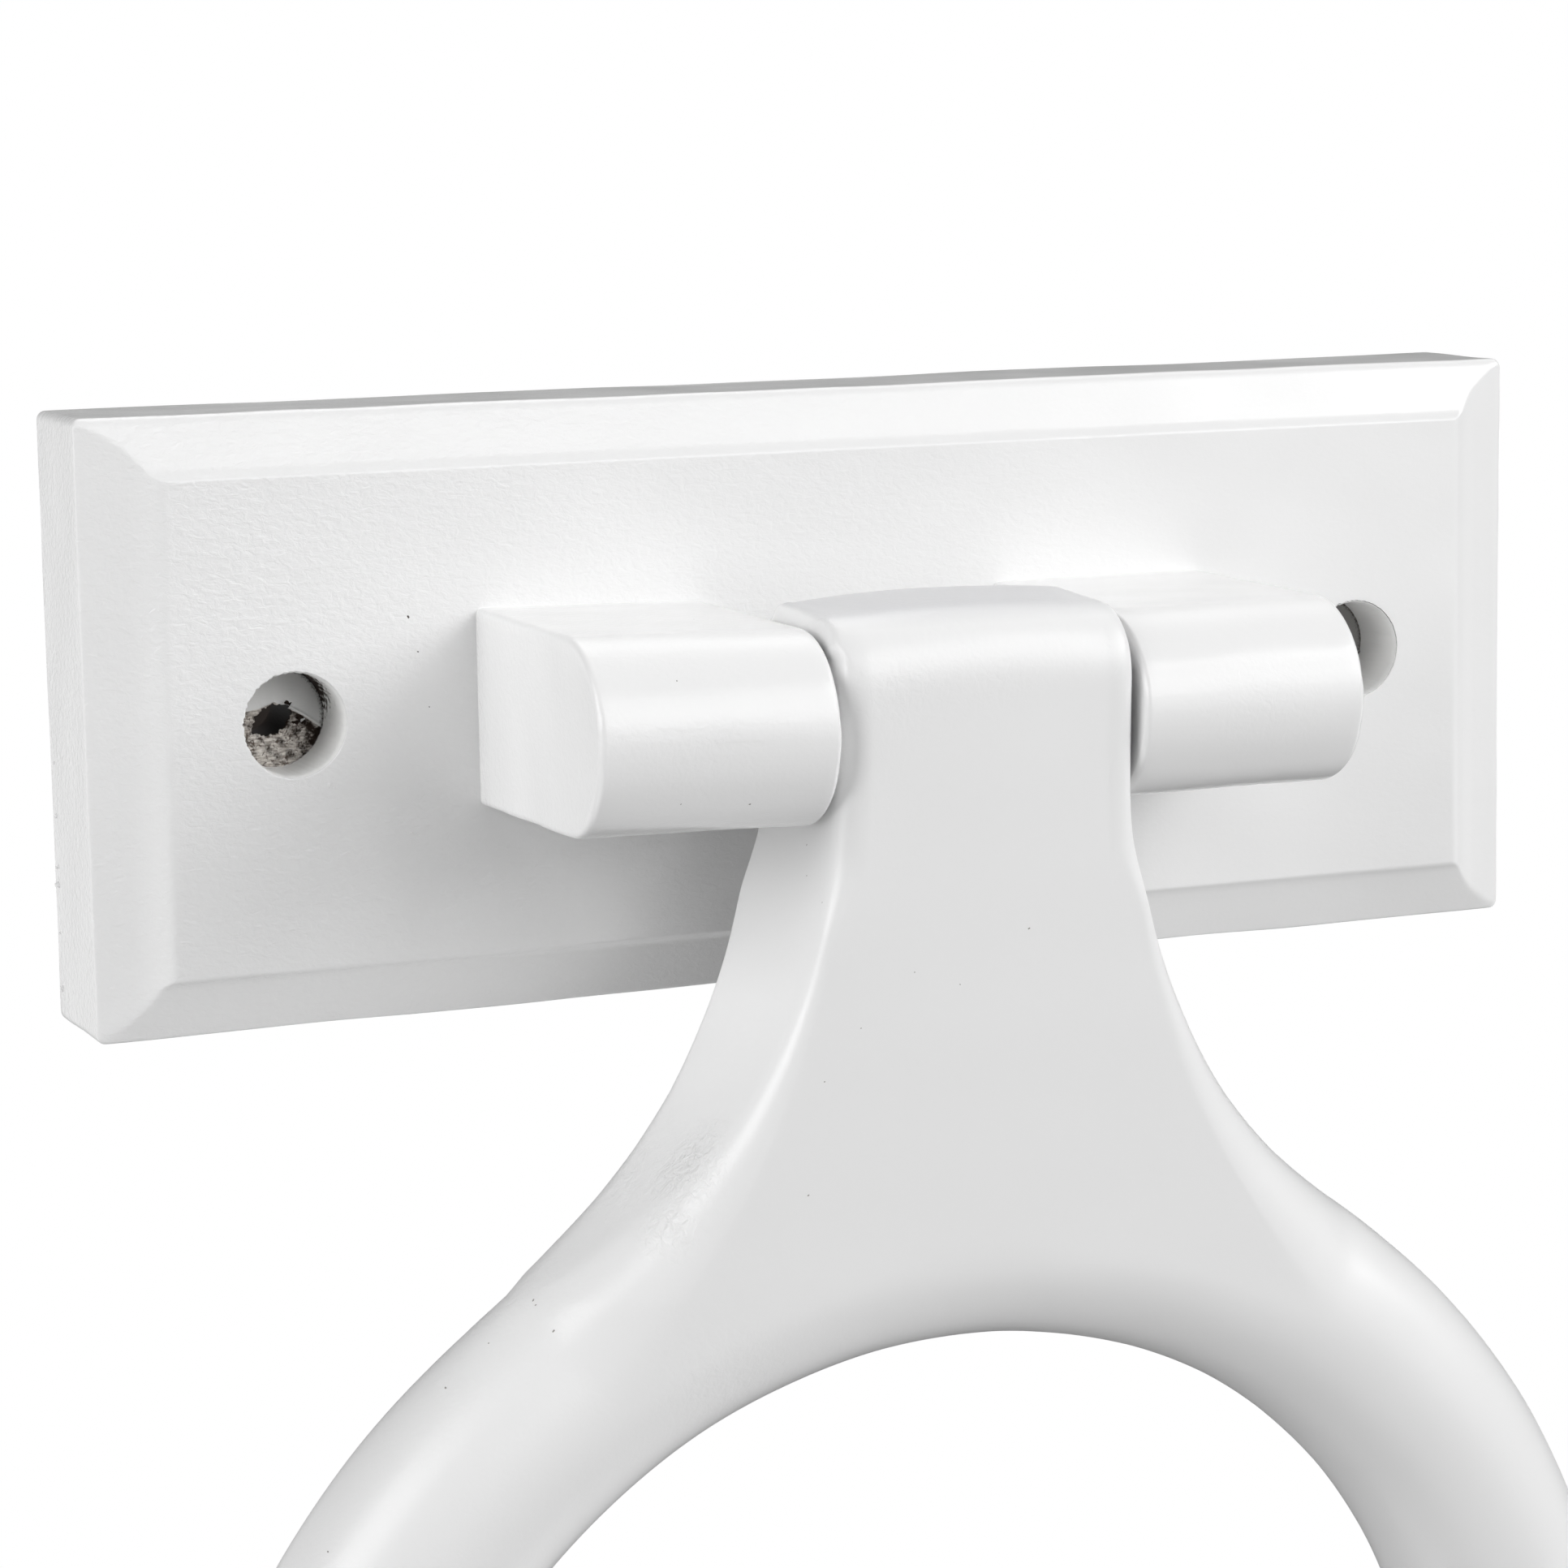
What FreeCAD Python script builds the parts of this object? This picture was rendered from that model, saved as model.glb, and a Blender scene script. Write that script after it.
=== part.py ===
"""Wall-mounted cast towel ring, in millimetres.

The plate's back lies on the wall at Y = 0, the front faces -Y, and +Z is up. The origin is the
centre of the plate's back. The plate casting carries two lugs. A pin through the lugs holds the
ring casting, whose knuckle fills the space between them.
"""
import FreeCAD, Part
import math
import os
import Sketcher

SIZES = {
    # The back plate: a slab with four sloped edges round a flat front.
    "plate_width": 127.0,
    "plate_height": 48.8,
    "plate_wall": 11.8,
    "bevel_rise": 2.6,
    "bevel_run_ends": 6.0,
    "bevel_run_long": 4.9,
    "bevel_crest_round": 2.0,
    "plate_edge_round": 0.8,
    # The two screw holes, with a flat-bottomed recess for each screw head.
    "screw_spacing": 94.7,
    "screw_hole": 4.4,
    "head_recess": 8.15,
    "head_recess_depth": 6.0,
    # The two lugs, each a block with a half-round nose about the pin.
    "lug_gap": 25.6,
    "lug_length": 19.6,
    "lug_nose_radius": 7.6,
    "lug_root_height": 15.7,
    "lug_edge_round": 0.6,
    "lug_root_round": 0.9,
    # The pin: pressed into both lugs, with running room in the knuckle.
    "pin_reach": 34.1,
    "pin_thick": 4.76,
    "pin_running_room": 0.06,
    "pin_blind_depth": 14.0,
    "pin_end_recess": 1.0,
    "pin_chamfer": 0.4,
    # The ring: a round bar bent into a circle, set a little behind the pin.
    "ring_mean_radius": 56.2,
    "ring_bar": 17.7,
    "neck_drop": 42.1,
    "ring_setback": 2.2,
    "hang_angle": 2.9,
    # The knuckle and the flat neck that flares into the ring.
    "knuckle_side_room": 0.6,
    "knuckle_top": 9.25,
    "knuckle_crown": 0.7,
    "knuckle_round": 6.0,
    "neck_flare_start": 2.4,
    "neck_flare_turn": 36.0,
    "neck_flare_above_ring": 3.2,
    "neck_edge_round": 1.0,
    "neck_edge_round_low": 3.2,
    "neck_foot_land": 0.05,
    # The neck's faces end this far inside the bar's round surface, which they run into.
    "neck_inset": 0.15,
}

doc = FreeCAD.newDocument("towel_ring")
sheet = doc.addObject("Spreadsheet::Sheet", "Sizes")
for row, (name, value) in enumerate(SIZES.items(), start=1):
    sheet.set("A%d" % row, name)
    sheet.set("B%d" % row, str(value))
    sheet.setAlias("B%d" % row, name)
# The flare's tight arc runs down to its named height above the ring's bar.
flare_row = len(SIZES) + 1
sheet.set("A%d" % flare_row, "neck_flare_radius")
sheet.set(
    "B%d" % flare_row,
    "=(neck_drop - ring_bar / 2 - neck_flare_above_ring - neck_flare_start) / sin(neck_flare_turn)",
)
sheet.setAlias("B%d" % flare_row, "neck_flare_radius")
doc.recompute()


def size(name):
    """A size as the sheet holds it."""
    return float(sheet.get(name))


def plane(body, role):
    """The body's own origin plane with this role, such as XZ_Plane."""
    for feature in body.Origin.OriginFeatures:
        if feature.Role == role:
            return feature
    raise ValueError(role)


def sketch_on(body, name, role, offset="0"):
    """An empty sketch on one of the body's planes, moved along its normal by an expression."""
    sketch = body.newObject("Sketcher::SketchObject", name)
    sketch.AttachmentSupport = (plane(body, role), [""])
    sketch.MapMode = "FlatFace"
    sketch.setExpression("AttachmentOffset.Base.z", offset)
    return sketch


def constrain(sketch, kind, *places, **named):
    """Adds one constraint; name= and to= give it a name and bind it to an expression."""
    index = sketch.addConstraint(Sketcher.Constraint(kind, *places))
    if named:
        sketch.renameConstraint(index, named["name"])
        sketch.setExpression("Constraints." + named["name"], named["to"])
    return index


def line(sketch, start, end):
    """A straight edge between two points of the sketch."""
    first = FreeCAD.Vector(start[0], start[1], 0)
    last = FreeCAD.Vector(end[0], end[1], 0)
    return sketch.addGeometry(Part.LineSegment(first, last))


def arc(sketch, centre, radius, first_angle, last_angle):
    """A round edge, counter-clockwise from the first angle to the last, in radians."""
    circle = Part.Circle(FreeCAD.Vector(centre[0], centre[1], 0), FreeCAD.Vector(0, 0, 1), radius)
    return sketch.addGeometry(Part.ArcOfCircle(circle, first_angle, last_angle))


def rectangle(sketch, width, height):
    """A rectangle centred on the sketch's origin, bound to two expressions."""
    start = 10.0
    corners = [(-start, -start), (start, -start), (start, start), (-start, start)]
    for i in range(4):
        line(sketch, corners[i], corners[(i + 1) % 4])
    for i in range(4):
        constrain(sketch, "Coincident", i, 2, (i + 1) % 4, 1)
    constrain(sketch, "Horizontal", 0)
    constrain(sketch, "Horizontal", 2)
    constrain(sketch, "Vertical", 1)
    constrain(sketch, "Vertical", 3)
    constrain(sketch, "Symmetric", 0, 1, 2, 1, -1, 1)
    constrain(sketch, "DistanceX", 0, 1, 0, 2, 2 * start, name="width", to=width)
    constrain(sketch, "DistanceY", 1, 1, 1, 2, 2 * start, name="height", to=height)


def hole_pair(sketch, diameter):
    """Two equal circles on the sketch's level line, as far apart as the screws."""
    for side in (-1, 1):
        centre = FreeCAD.Vector(side * size("screw_spacing") / 2, 0, 0)
        sketch.addGeometry(Part.Circle(centre, FreeCAD.Vector(0, 0, 1), size(diameter) / 2))
    constrain(sketch, "PointOnObject", 0, 3, -1)
    constrain(sketch, "Symmetric", 0, 3, 1, 3, -1, 1)
    constrain(sketch, "Equal", 0, 1)
    constrain(sketch, "DistanceX", 0, 3, 1, 3, size("screw_spacing"), name="spacing", to="Sizes.screw_spacing")
    constrain(sketch, "Diameter", 0, size(diameter), name="bore", to="Sizes." + diameter)


def edges_where(shape, test):
    """The names of the edges that pass a test."""
    return ["Edge%d" % (i + 1) for i, edge in enumerate(shape.Edges) if test(edge)]


def near(value, target):
    """True where two lengths are the same within a hundredth of a millimetre."""
    return abs(value - target) < 0.01


def round_edges(body, name, base, radius, test):
    """A fillet in the body on every edge of its last feature that passes a test."""
    fillet = body.newObject("PartDesign::Fillet", name)
    fillet.Base = (base, edges_where(base.Shape, test))
    fillet.setExpression("Radius", radius)
    doc.recompute()
    return fillet


# The back plate and its lugs are one casting.
FRONT = "(Sizes.plate_wall + Sizes.bevel_rise)"
plate = doc.addObject("PartDesign::Body", "WallPlate")
plate.Label = "wall_plate"

slab_outline = sketch_on(plate, "SlabOutline", "XZ_Plane")
rectangle(slab_outline, "Sizes.plate_width", "Sizes.plate_height")
slab = plate.newObject("PartDesign::Pad", "Slab")
slab.Profile = slab_outline
slab.setExpression("Length", "Sizes.plate_wall")
doc.recompute()

bevel_foot = sketch_on(plate, "BevelFoot", "XZ_Plane", "Sizes.plate_wall")
rectangle(bevel_foot, "Sizes.plate_width", "Sizes.plate_height")
bevel_crest = sketch_on(plate, "BevelCrest", "XZ_Plane", FRONT)
rectangle(
    bevel_crest,
    "Sizes.plate_width - 2 * Sizes.bevel_run_ends",
    "Sizes.plate_height - 2 * Sizes.bevel_run_long",
)
bevels = plate.newObject("PartDesign::AdditiveLoft", "SlopedEdges")
bevels.Profile = bevel_foot
bevels.Sections = [bevel_crest]
bevels.Ruled = True
doc.recompute()

front_y = -(size("plate_wall") + size("bevel_rise"))
wall_y = -size("plate_wall")


def on_bevel_crest(edge):
    """An edge of the plate's flat front."""
    box = edge.BoundBox
    return near(box.YMin, front_y) and near(box.YMax, front_y)


def on_plate_rim(edge):
    """An edge of the slab: where it meets the sloped edges, or one of its four corners."""
    box = edge.BoundBox
    level = near(box.YMin, wall_y) and near(box.YMax, wall_y)
    return level or (near(box.YMin, wall_y) and near(box.YMax, 0))


crest = round_edges(plate, "SoftCrest", bevels, "Sizes.bevel_crest_round", on_bevel_crest)
rim = round_edges(plate, "SoftRim", crest, "Sizes.plate_edge_round", on_plate_rim)

# Each lug's side view: two sides that draw in from the plate and run smoothly into a half-round nose.
lug_profile = sketch_on(plate, "LugProfile", "YZ_Plane", "Sizes.lug_gap / 2")
nose = arc(lug_profile, (-size("pin_reach"), 0), size("lug_nose_radius"), math.pi / 2, 3 * math.pi / 2)
root_half = size("lug_root_height") / 2
nose_top = (-size("pin_reach"), size("lug_nose_radius"))
nose_bottom = (-size("pin_reach"), -size("lug_nose_radius"))
upper = line(lug_profile, (wall_y, root_half), nose_top)
lower = line(lug_profile, nose_bottom, (wall_y, -root_half))
root = line(lug_profile, (wall_y, -root_half), (wall_y, root_half))
constrain(lug_profile, "Tangent", upper, 2, nose, 1)
constrain(lug_profile, "Tangent", nose, 2, lower, 1)
constrain(lug_profile, "Coincident", lower, 2, root, 1)
constrain(lug_profile, "Coincident", root, 2, upper, 1)
constrain(lug_profile, "PointOnObject", nose, 3, -1)
constrain(lug_profile, "Symmetric", root, 1, root, 2, -1)
constrain(lug_profile, "Radius", nose, size("lug_nose_radius"), name="nose", to="Sizes.lug_nose_radius")
constrain(lug_profile, "DistanceX", nose, 3, -1, 1, size("pin_reach"), name="reach", to="Sizes.pin_reach")
constrain(lug_profile, "DistanceX", root, 1, -1, 1, -wall_y, name="depth", to="Sizes.plate_wall")
constrain(lug_profile, "DistanceY", root, 1, root, 2, 2 * root_half, name="root", to="Sizes.lug_root_height")
right_lug = plate.newObject("PartDesign::Pad", "RightLug")
right_lug.Profile = lug_profile
right_lug.setExpression("Length", "Sizes.lug_length")
doc.recompute()

both_lugs = plate.newObject("PartDesign::Mirrored", "BothLugs")
both_lugs.Originals = [right_lug]
both_lugs.MirrorPlane = (plane(plate, "YZ_Plane"), [""])
plate.Tip = both_lugs
doc.recompute()

lug_inner = size("lug_gap") / 2
lug_outer = lug_inner + size("lug_length")


def on_lug_rim(edge):
    """An edge round the inner or outer end of a lug, clear of the plate's front."""
    box = edge.BoundBox
    across = near(box.XMin, box.XMax)
    at_end = near(abs(box.XMin), lug_inner) or near(abs(box.XMin), lug_outer)
    return across and at_end and box.YMin < front_y - 1


def on_lug_root(edge):
    """An edge where a lug rises from the plate's front."""
    box = edge.BoundBox
    level = near(box.YMin, front_y) and near(box.YMax, front_y)
    inside = max(abs(box.XMin), abs(box.XMax)) < lug_outer + 0.01
    return level and inside and max(abs(box.ZMin), abs(box.ZMax)) < root_half + 0.01


lug_rims = round_edges(plate, "SoftLugEnds", both_lugs, "Sizes.lug_edge_round", on_lug_rim)
lug_roots = round_edges(plate, "LugRoots", lug_rims, "Sizes.lug_root_round", on_lug_root)

recess_sketch = sketch_on(plate, "HeadRecesses", "XZ_Plane", FRONT)
hole_pair(recess_sketch, "head_recess")
recesses = plate.newObject("PartDesign::Pocket", "HeadRecessCut")
recesses.Profile = recess_sketch
recesses.setExpression("Length", "Sizes.head_recess_depth")
doc.recompute()

hole_sketch = sketch_on(plate, "ScrewHoles", "XZ_Plane", FRONT)
hole_pair(hole_sketch, "screw_hole")
holes = plate.newObject("PartDesign::Pocket", "ScrewHoleCut")
holes.Profile = hole_sketch
holes.setExpression("Length", FRONT)
doc.recompute()

# The pin's bore runs through the right lug and ends blind in the left one.
bore_sketch = sketch_on(plate, "PinBore", "YZ_Plane", "Sizes.lug_gap / 2 + Sizes.lug_length")
bore_centre = FreeCAD.Vector(-size("pin_reach"), 0, 0)
bore_sketch.addGeometry(Part.Circle(bore_centre, FreeCAD.Vector(0, 0, 1), size("pin_thick") / 2))
constrain(bore_sketch, "PointOnObject", 0, 3, -1)
constrain(bore_sketch, "DistanceX", 0, 3, -1, 1, size("pin_reach"), name="reach", to="Sizes.pin_reach")
constrain(bore_sketch, "Diameter", 0, size("pin_thick"), name="bore", to="Sizes.pin_thick")
bore = plate.newObject("PartDesign::Pocket", "PinBoreCut")
bore.Profile = bore_sketch
bore.setExpression("Length", "Sizes.lug_length + Sizes.lug_gap + Sizes.pin_blind_depth")
plate.Tip = bore
doc.recompute()

# The pin fills its bore from the blind end to just inside the right lug's outer face.
pin = doc.addObject("PartDesign::Body", "HingePin")
pin.Label = "hinge_pin"
pin_round = sketch_on(pin, "PinRound", "YZ_Plane", "-(Sizes.lug_gap / 2 + Sizes.pin_blind_depth)")
pin_round.addGeometry(Part.Circle(FreeCAD.Vector(0, 0, 0), FreeCAD.Vector(0, 0, 1), size("pin_thick") / 2))
constrain(pin_round, "Coincident", 0, 3, -1, 1)
constrain(pin_round, "Diameter", 0, size("pin_thick"), name="thick", to="Sizes.pin_thick")
pin_bar = pin.newObject("PartDesign::Pad", "PinBar")
pin_bar.Profile = pin_round
pin_bar.setExpression(
    "Length", "Sizes.lug_gap + Sizes.lug_length + Sizes.pin_blind_depth - Sizes.pin_end_recess"
)
doc.recompute()
pin_ends = pin.newObject("PartDesign::Chamfer", "PinEnds")
pin_ends.Base = (pin_bar, edges_where(pin_bar.Shape, lambda edge: near(edge.BoundBox.XLength, 0)))
pin_ends.setExpression("Size", "Sizes.pin_chamfer")
pin.setExpression("Placement.Base.y", "-Sizes.pin_reach")
doc.recompute()

# The ring casting is drawn with the pin's axis as its origin, then tipped by its hang angle.
# Front view of the neck: a straight knuckle with a slightly crowned top, and on each side two arcs
# that flare out, a tight one and then a wide one that ends where it touches the ring's outer circle.
# The foot follows the centre line of the ring's bar.
half_knuckle = size("lug_gap") / 2 - size("knuckle_side_room")
knuckle_top = size("knuckle_top")
corner_z = knuckle_top - size("knuckle_crown")
flare_z = -size("neck_flare_start")
bar_half = size("ring_bar") / 2
neck_half = bar_half - size("neck_inset")
outer_radius = size("ring_mean_radius") + neck_half
ring_centre_z = -(size("neck_drop") + size("ring_mean_radius"))
crown_radius = (half_knuckle**2 + size("knuckle_crown") ** 2) / (2 * size("knuckle_crown"))
crown_angle = math.asin(half_knuckle / crown_radius)
upper_radius = size("neck_flare_radius")
upper_turn = math.radians(size("neck_flare_turn"))
join = (
    half_knuckle + upper_radius * (1 - math.cos(upper_turn)),
    flare_z - upper_radius * math.sin(upper_turn),
)
# The wide arc's centre is in line with the tight arc's centre and the join, and its distance from the
# ring's centre is the sum of the two radii.
join_height = join[1] - ring_centre_z
join_reach = join[0] * math.cos(upper_turn) + join_height * math.sin(upper_turn)
lower_radius = (join[0] ** 2 + join_height**2 - outer_radius**2) / (2 * (outer_radius - join_reach))
lower_centre = (
    join[0] + lower_radius * math.cos(upper_turn),
    join[1] + lower_radius * math.sin(upper_turn),
)
foot_angle = math.atan2(lower_centre[1] - ring_centre_z, lower_centre[0])
touch = (outer_radius * math.cos(foot_angle), ring_centre_z + outer_radius * math.sin(foot_angle))
foot = (
    size("ring_mean_radius") * math.cos(foot_angle),
    ring_centre_z + size("ring_mean_radius") * math.sin(foot_angle),
)

neck_outline = doc.addObject("Sketcher::SketchObject", "NeckOutline")
neck_outline.Placement.Rotation = FreeCAD.Rotation(FreeCAD.Vector(1, 0, 0), 90)
neck_outline.setExpression("Placement.Base.y", "Sizes.ring_setback")
right_side = line(neck_outline, (half_knuckle, corner_z), (half_knuckle, flare_z))
right_upper = arc(
    neck_outline, (half_knuckle + upper_radius, flare_z), upper_radius, math.pi, math.pi + upper_turn
)
right_lower = arc(neck_outline, lower_centre, lower_radius, math.pi + upper_turn, math.pi + foot_angle)
right_foot = line(neck_outline, touch, foot)
foot_arc = arc(
    neck_outline, (0, ring_centre_z), size("ring_mean_radius"), foot_angle, math.pi - foot_angle
)
left_foot = line(neck_outline, (-foot[0], foot[1]), (-touch[0], touch[1]))
left_lower = arc(
    neck_outline, (-lower_centre[0], lower_centre[1]), lower_radius, -foot_angle, -upper_turn
)
left_upper = arc(neck_outline, (-half_knuckle - upper_radius, flare_z), upper_radius, -upper_turn, 0)
left_side = line(neck_outline, (-half_knuckle, flare_z), (-half_knuckle, corner_z))
crown_start = math.pi / 2 - crown_angle
top = arc(
    neck_outline, (0, knuckle_top - crown_radius), crown_radius, crown_start, math.pi - crown_start
)
constrain(neck_outline, "Vertical", right_side)
constrain(neck_outline, "Coincident", top, 1, right_side, 1)
constrain(neck_outline, "Tangent", right_side, 2, right_upper, 1)
constrain(neck_outline, "Tangent", right_upper, 2, right_lower, 1)
constrain(neck_outline, "Coincident", right_lower, 2, right_foot, 1)
constrain(neck_outline, "Coincident", right_foot, 2, foot_arc, 1)
constrain(neck_outline, "Coincident", foot_arc, 2, left_foot, 1)
constrain(neck_outline, "Coincident", left_foot, 2, left_lower, 1)
constrain(neck_outline, "Tangent", left_lower, 2, left_upper, 1)
constrain(neck_outline, "Tangent", left_upper, 2, left_side, 1)
constrain(neck_outline, "Coincident", left_side, 2, top, 2)
constrain(neck_outline, "Symmetric", top, 1, top, 2, -2)
constrain(neck_outline, "Symmetric", right_side, 2, left_side, 1, -2)
constrain(neck_outline, "Symmetric", right_upper, 2, left_upper, 1, -2)
constrain(neck_outline, "Symmetric", right_lower, 2, left_lower, 1, -2)
constrain(neck_outline, "Symmetric", foot_arc, 1, foot_arc, 2, -2)
constrain(neck_outline, "PointOnObject", foot_arc, 3, right_foot)
constrain(neck_outline, "PointOnObject", right_lower, 3, right_foot)
constrain(
    neck_outline, "DistanceX", top, 2, top, 1, 2 * half_knuckle,
    name="width", to="Sizes.lug_gap - 2 * Sizes.knuckle_side_room",
)
constrain(
    neck_outline, "DistanceY", -1, 1, top, 1, corner_z,
    name="corner", to="Sizes.knuckle_top - Sizes.knuckle_crown",
)
constrain(
    neck_outline, "Radius", top, crown_radius,
    name="crown", to="((Sizes.lug_gap / 2 - Sizes.knuckle_side_room)^2 + Sizes.knuckle_crown^2)"
    " / (2 * Sizes.knuckle_crown)",
)
constrain(
    neck_outline, "DistanceY", right_side, 2, -1, 1, -flare_z,
    name="flare_start", to="Sizes.neck_flare_start",
)
constrain(
    neck_outline, "Radius", right_upper, upper_radius, name="upper", to="Sizes.neck_flare_radius"
)
constrain(
    neck_outline, "DistanceY", right_upper, 2, right_upper, 1, flare_z - join[1],
    name="turn", to="Sizes.neck_flare_radius * sin(Sizes.neck_flare_turn)",
)
constrain(
    neck_outline, "DistanceY", foot_arc, 3, -1, 1, -ring_centre_z,
    name="drop", to="Sizes.neck_drop + Sizes.ring_mean_radius",
)
constrain(
    neck_outline, "Radius", foot_arc, size("ring_mean_radius"), name="mean", to="Sizes.ring_mean_radius"
)
constrain(
    neck_outline, "Distance", foot_arc, 3, right_foot, 1, outer_radius,
    name="outer", to="Sizes.ring_mean_radius + Sizes.ring_bar / 2 - Sizes.neck_inset",
)

# The front half of the neck is made and rounded first, then mirrored to the back.
front_blank = doc.addObject("Part::Extrusion", "NeckFrontBlank")
front_blank.Base = neck_outline
front_blank.DirMode = "Normal"
front_blank.setExpression("LengthFwd", "Sizes.ring_bar / 2 - Sizes.neck_inset")
front_blank.Solid = True
doc.recompute()


def fillet_list(shape, radii):
    """The (edge number, first radius, last radius) of every edge for which radii gives a pair."""
    found = []
    for number, edge in enumerate(shape.Edges, start=1):
        pair = radii(edge)
        if pair:
            found.append((number, pair[0], pair[1]))
    return found


def knuckle_crown(edge):
    """The long edge along the top of the knuckle's front gets its large round."""
    box = edge.BoundBox
    high = near(box.ZMin, corner_z) and near(box.ZMax, knuckle_top)
    in_front = near(box.YMin, front_half_y) and near(box.YMax, front_half_y)
    if high and in_front:
        return size("knuckle_round"), size("knuckle_round")
    return None


def flare_edges(edge):
    """A small round runs along the knuckle's sides and grows down the flares to a half-round bar."""
    box = edge.BoundBox
    in_front = near(box.YMin, front_half_y) and near(box.YMax, front_half_y)
    if not in_front or not isinstance(edge.Curve, Part.Circle):
        return None
    if near(edge.Curve.Radius, upper_radius):
        high_end, low_end = size("neck_edge_round"), size("neck_edge_round_low")
    elif near(edge.Curve.Radius, lower_radius):
        high_end, low_end = size("neck_edge_round_low"), neck_half - size("neck_foot_land")
    else:
        return None
    starts_high = edge.Vertexes[0].Point.z > edge.Vertexes[-1].Point.z
    return (high_end, low_end) if starts_high else (low_end, high_end)


front_half_y = size("ring_setback") - neck_half
crowned = doc.addObject("Part::Fillet", "KnuckleCrown")
crowned.Base = front_blank
crowned.Edges = fillet_list(front_blank.Shape, knuckle_crown)
doc.recompute()
neck_front = doc.addObject("Part::Fillet", "NeckFront")
neck_front.Base = crowned
neck_front.Edges = fillet_list(crowned.Shape, flare_edges)
doc.recompute()

neck_back = doc.addObject("Part::Mirroring", "NeckBack")
neck_back.Source = neck_front
neck_back.Normal = FreeCAD.Vector(0, 1, 0)
neck_back.setExpression("Base.y", "Sizes.ring_setback")
neck = doc.addObject("Part::Fuse", "Neck")
neck.Base = neck_front
neck.Tool = neck_back
neck.Refine = True

bar = doc.addObject("Part::Torus", "RoundBar")
bar.setExpression("Radius1", "Sizes.ring_mean_radius")
bar.setExpression("Radius2", "Sizes.ring_bar / 2")
bar.Placement.Rotation = FreeCAD.Rotation(FreeCAD.Vector(1, 0, 0), 90)
bar.setExpression("Placement.Base.y", "Sizes.ring_setback")
bar.setExpression("Placement.Base.z", "-(Sizes.neck_drop + Sizes.ring_mean_radius)")

joined = doc.addObject("Part::Fuse", "NeckAndBar")
joined.Base = neck
joined.Tool = bar

knuckle_bore = doc.addObject("Part::Cylinder", "KnuckleBore")
knuckle_bore.setExpression("Radius", "Sizes.pin_thick / 2 + Sizes.pin_running_room")
knuckle_bore.setExpression("Height", "Sizes.lug_gap")
knuckle_bore.Placement.Rotation = FreeCAD.Rotation(FreeCAD.Vector(0, 1, 0), 90)
knuckle_bore.setExpression("Placement.Base.x", "-Sizes.lug_gap / 2")

ring = doc.addObject("Part::Cut", "TowelRing")
ring.Label = "towel_ring"
ring.Base = joined
ring.Tool = knuckle_bore
ring.Placement.Rotation = FreeCAD.Rotation(FreeCAD.Vector(1, 0, 0), size("hang_angle"))
ring.setExpression("Placement.Base.y", "-Sizes.pin_reach")
doc.recompute()

# Nothing is written unless every object computed and every piece is one sound solid.
for item in doc.Objects:
    if "Invalid" in item.State or "Error" in item.State:
        raise RuntimeError("%s did not compute: %s" % (item.Name, item.State))
pieces = [plate, pin, ring]
for piece in pieces:
    shape = piece.Shape
    if shape.isNull() or not shape.isValid() or len(shape.Solids) != 1:
        raise RuntimeError(piece.Label + " is not one sound solid")

os.makedirs("parts", exist_ok=True)
for piece in pieces:
    piece.Shape.exportStep("parts/%s.step" % piece.Label)
    box = piece.Shape.BoundBox
    print(
        "%s: %.1f x %.1f x %.1f mm, %.1f cm3, Z from %.1f to %.1f"
        % (piece.Label, box.XLength, box.YLength, box.ZLength, piece.Shape.Volume / 1000, box.ZMin, box.ZMax)
    )
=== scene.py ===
"""The looks of the cast towel ring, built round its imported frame.

Shapes are worked out in millimetres, in the frame's own axes: Y = 0 is the wall, the front faces -Y and
+Z is up. They become metres when a mesh is made.
"""

import math

import bmesh
import bpy
import numpy as np
from mathutils import Matrix, Vector
from mathutils.bvhtree import BVHTree


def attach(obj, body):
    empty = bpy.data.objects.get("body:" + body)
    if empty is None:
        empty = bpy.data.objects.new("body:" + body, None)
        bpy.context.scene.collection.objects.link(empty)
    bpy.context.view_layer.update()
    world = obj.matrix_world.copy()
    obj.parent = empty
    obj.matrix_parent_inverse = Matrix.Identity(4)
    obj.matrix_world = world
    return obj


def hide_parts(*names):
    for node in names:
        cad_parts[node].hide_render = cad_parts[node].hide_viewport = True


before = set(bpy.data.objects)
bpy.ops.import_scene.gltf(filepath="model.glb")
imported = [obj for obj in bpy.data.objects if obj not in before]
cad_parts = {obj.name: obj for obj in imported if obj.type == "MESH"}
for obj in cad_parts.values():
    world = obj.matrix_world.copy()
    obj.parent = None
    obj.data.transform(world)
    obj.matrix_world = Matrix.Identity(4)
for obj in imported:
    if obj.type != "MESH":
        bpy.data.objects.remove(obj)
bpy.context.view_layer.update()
MM = 0.001
# Points nearer than this are one, and edges that turn by more than this stay crisp.
MERGE_DISTANCE = 0.002
SHARP_EDGE_DEGREES = 50

# The back plate. The slopes' shape is a share of their rise: where the gentle part ends, how hollow the end
# slopes are, and how steep the step at the crest is.
PLATE_HALF_WIDTH = 63.5
PLATE_HALF_HEIGHT = 24.4
PLATE_WALL = 11.8
BEVEL_RISE = 2.6
BEVEL_RUN_ENDS = 6.0
BEVEL_RUN_LONG = 4.9
SLOPE_FOOT_SHARE = 0.84
END_SLOPE_CURVE = 0.75
END_CREST_STEEPNESS = 1.6
LONG_CREST_STEEPNESS = 2.6
STEP_SOFTNESS = 0.12
CREST_SOFTNESS = 0.5
MITRE_SOFTNESS = 0.35
LEFT_SLOPE_TILT = 0.012
PLATE_CORNER_ROUND = 0.8
PLATE_EDGE_ROUND = 0.3
PLATE_TOP_EDGE_ROUND = 0.75
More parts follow.
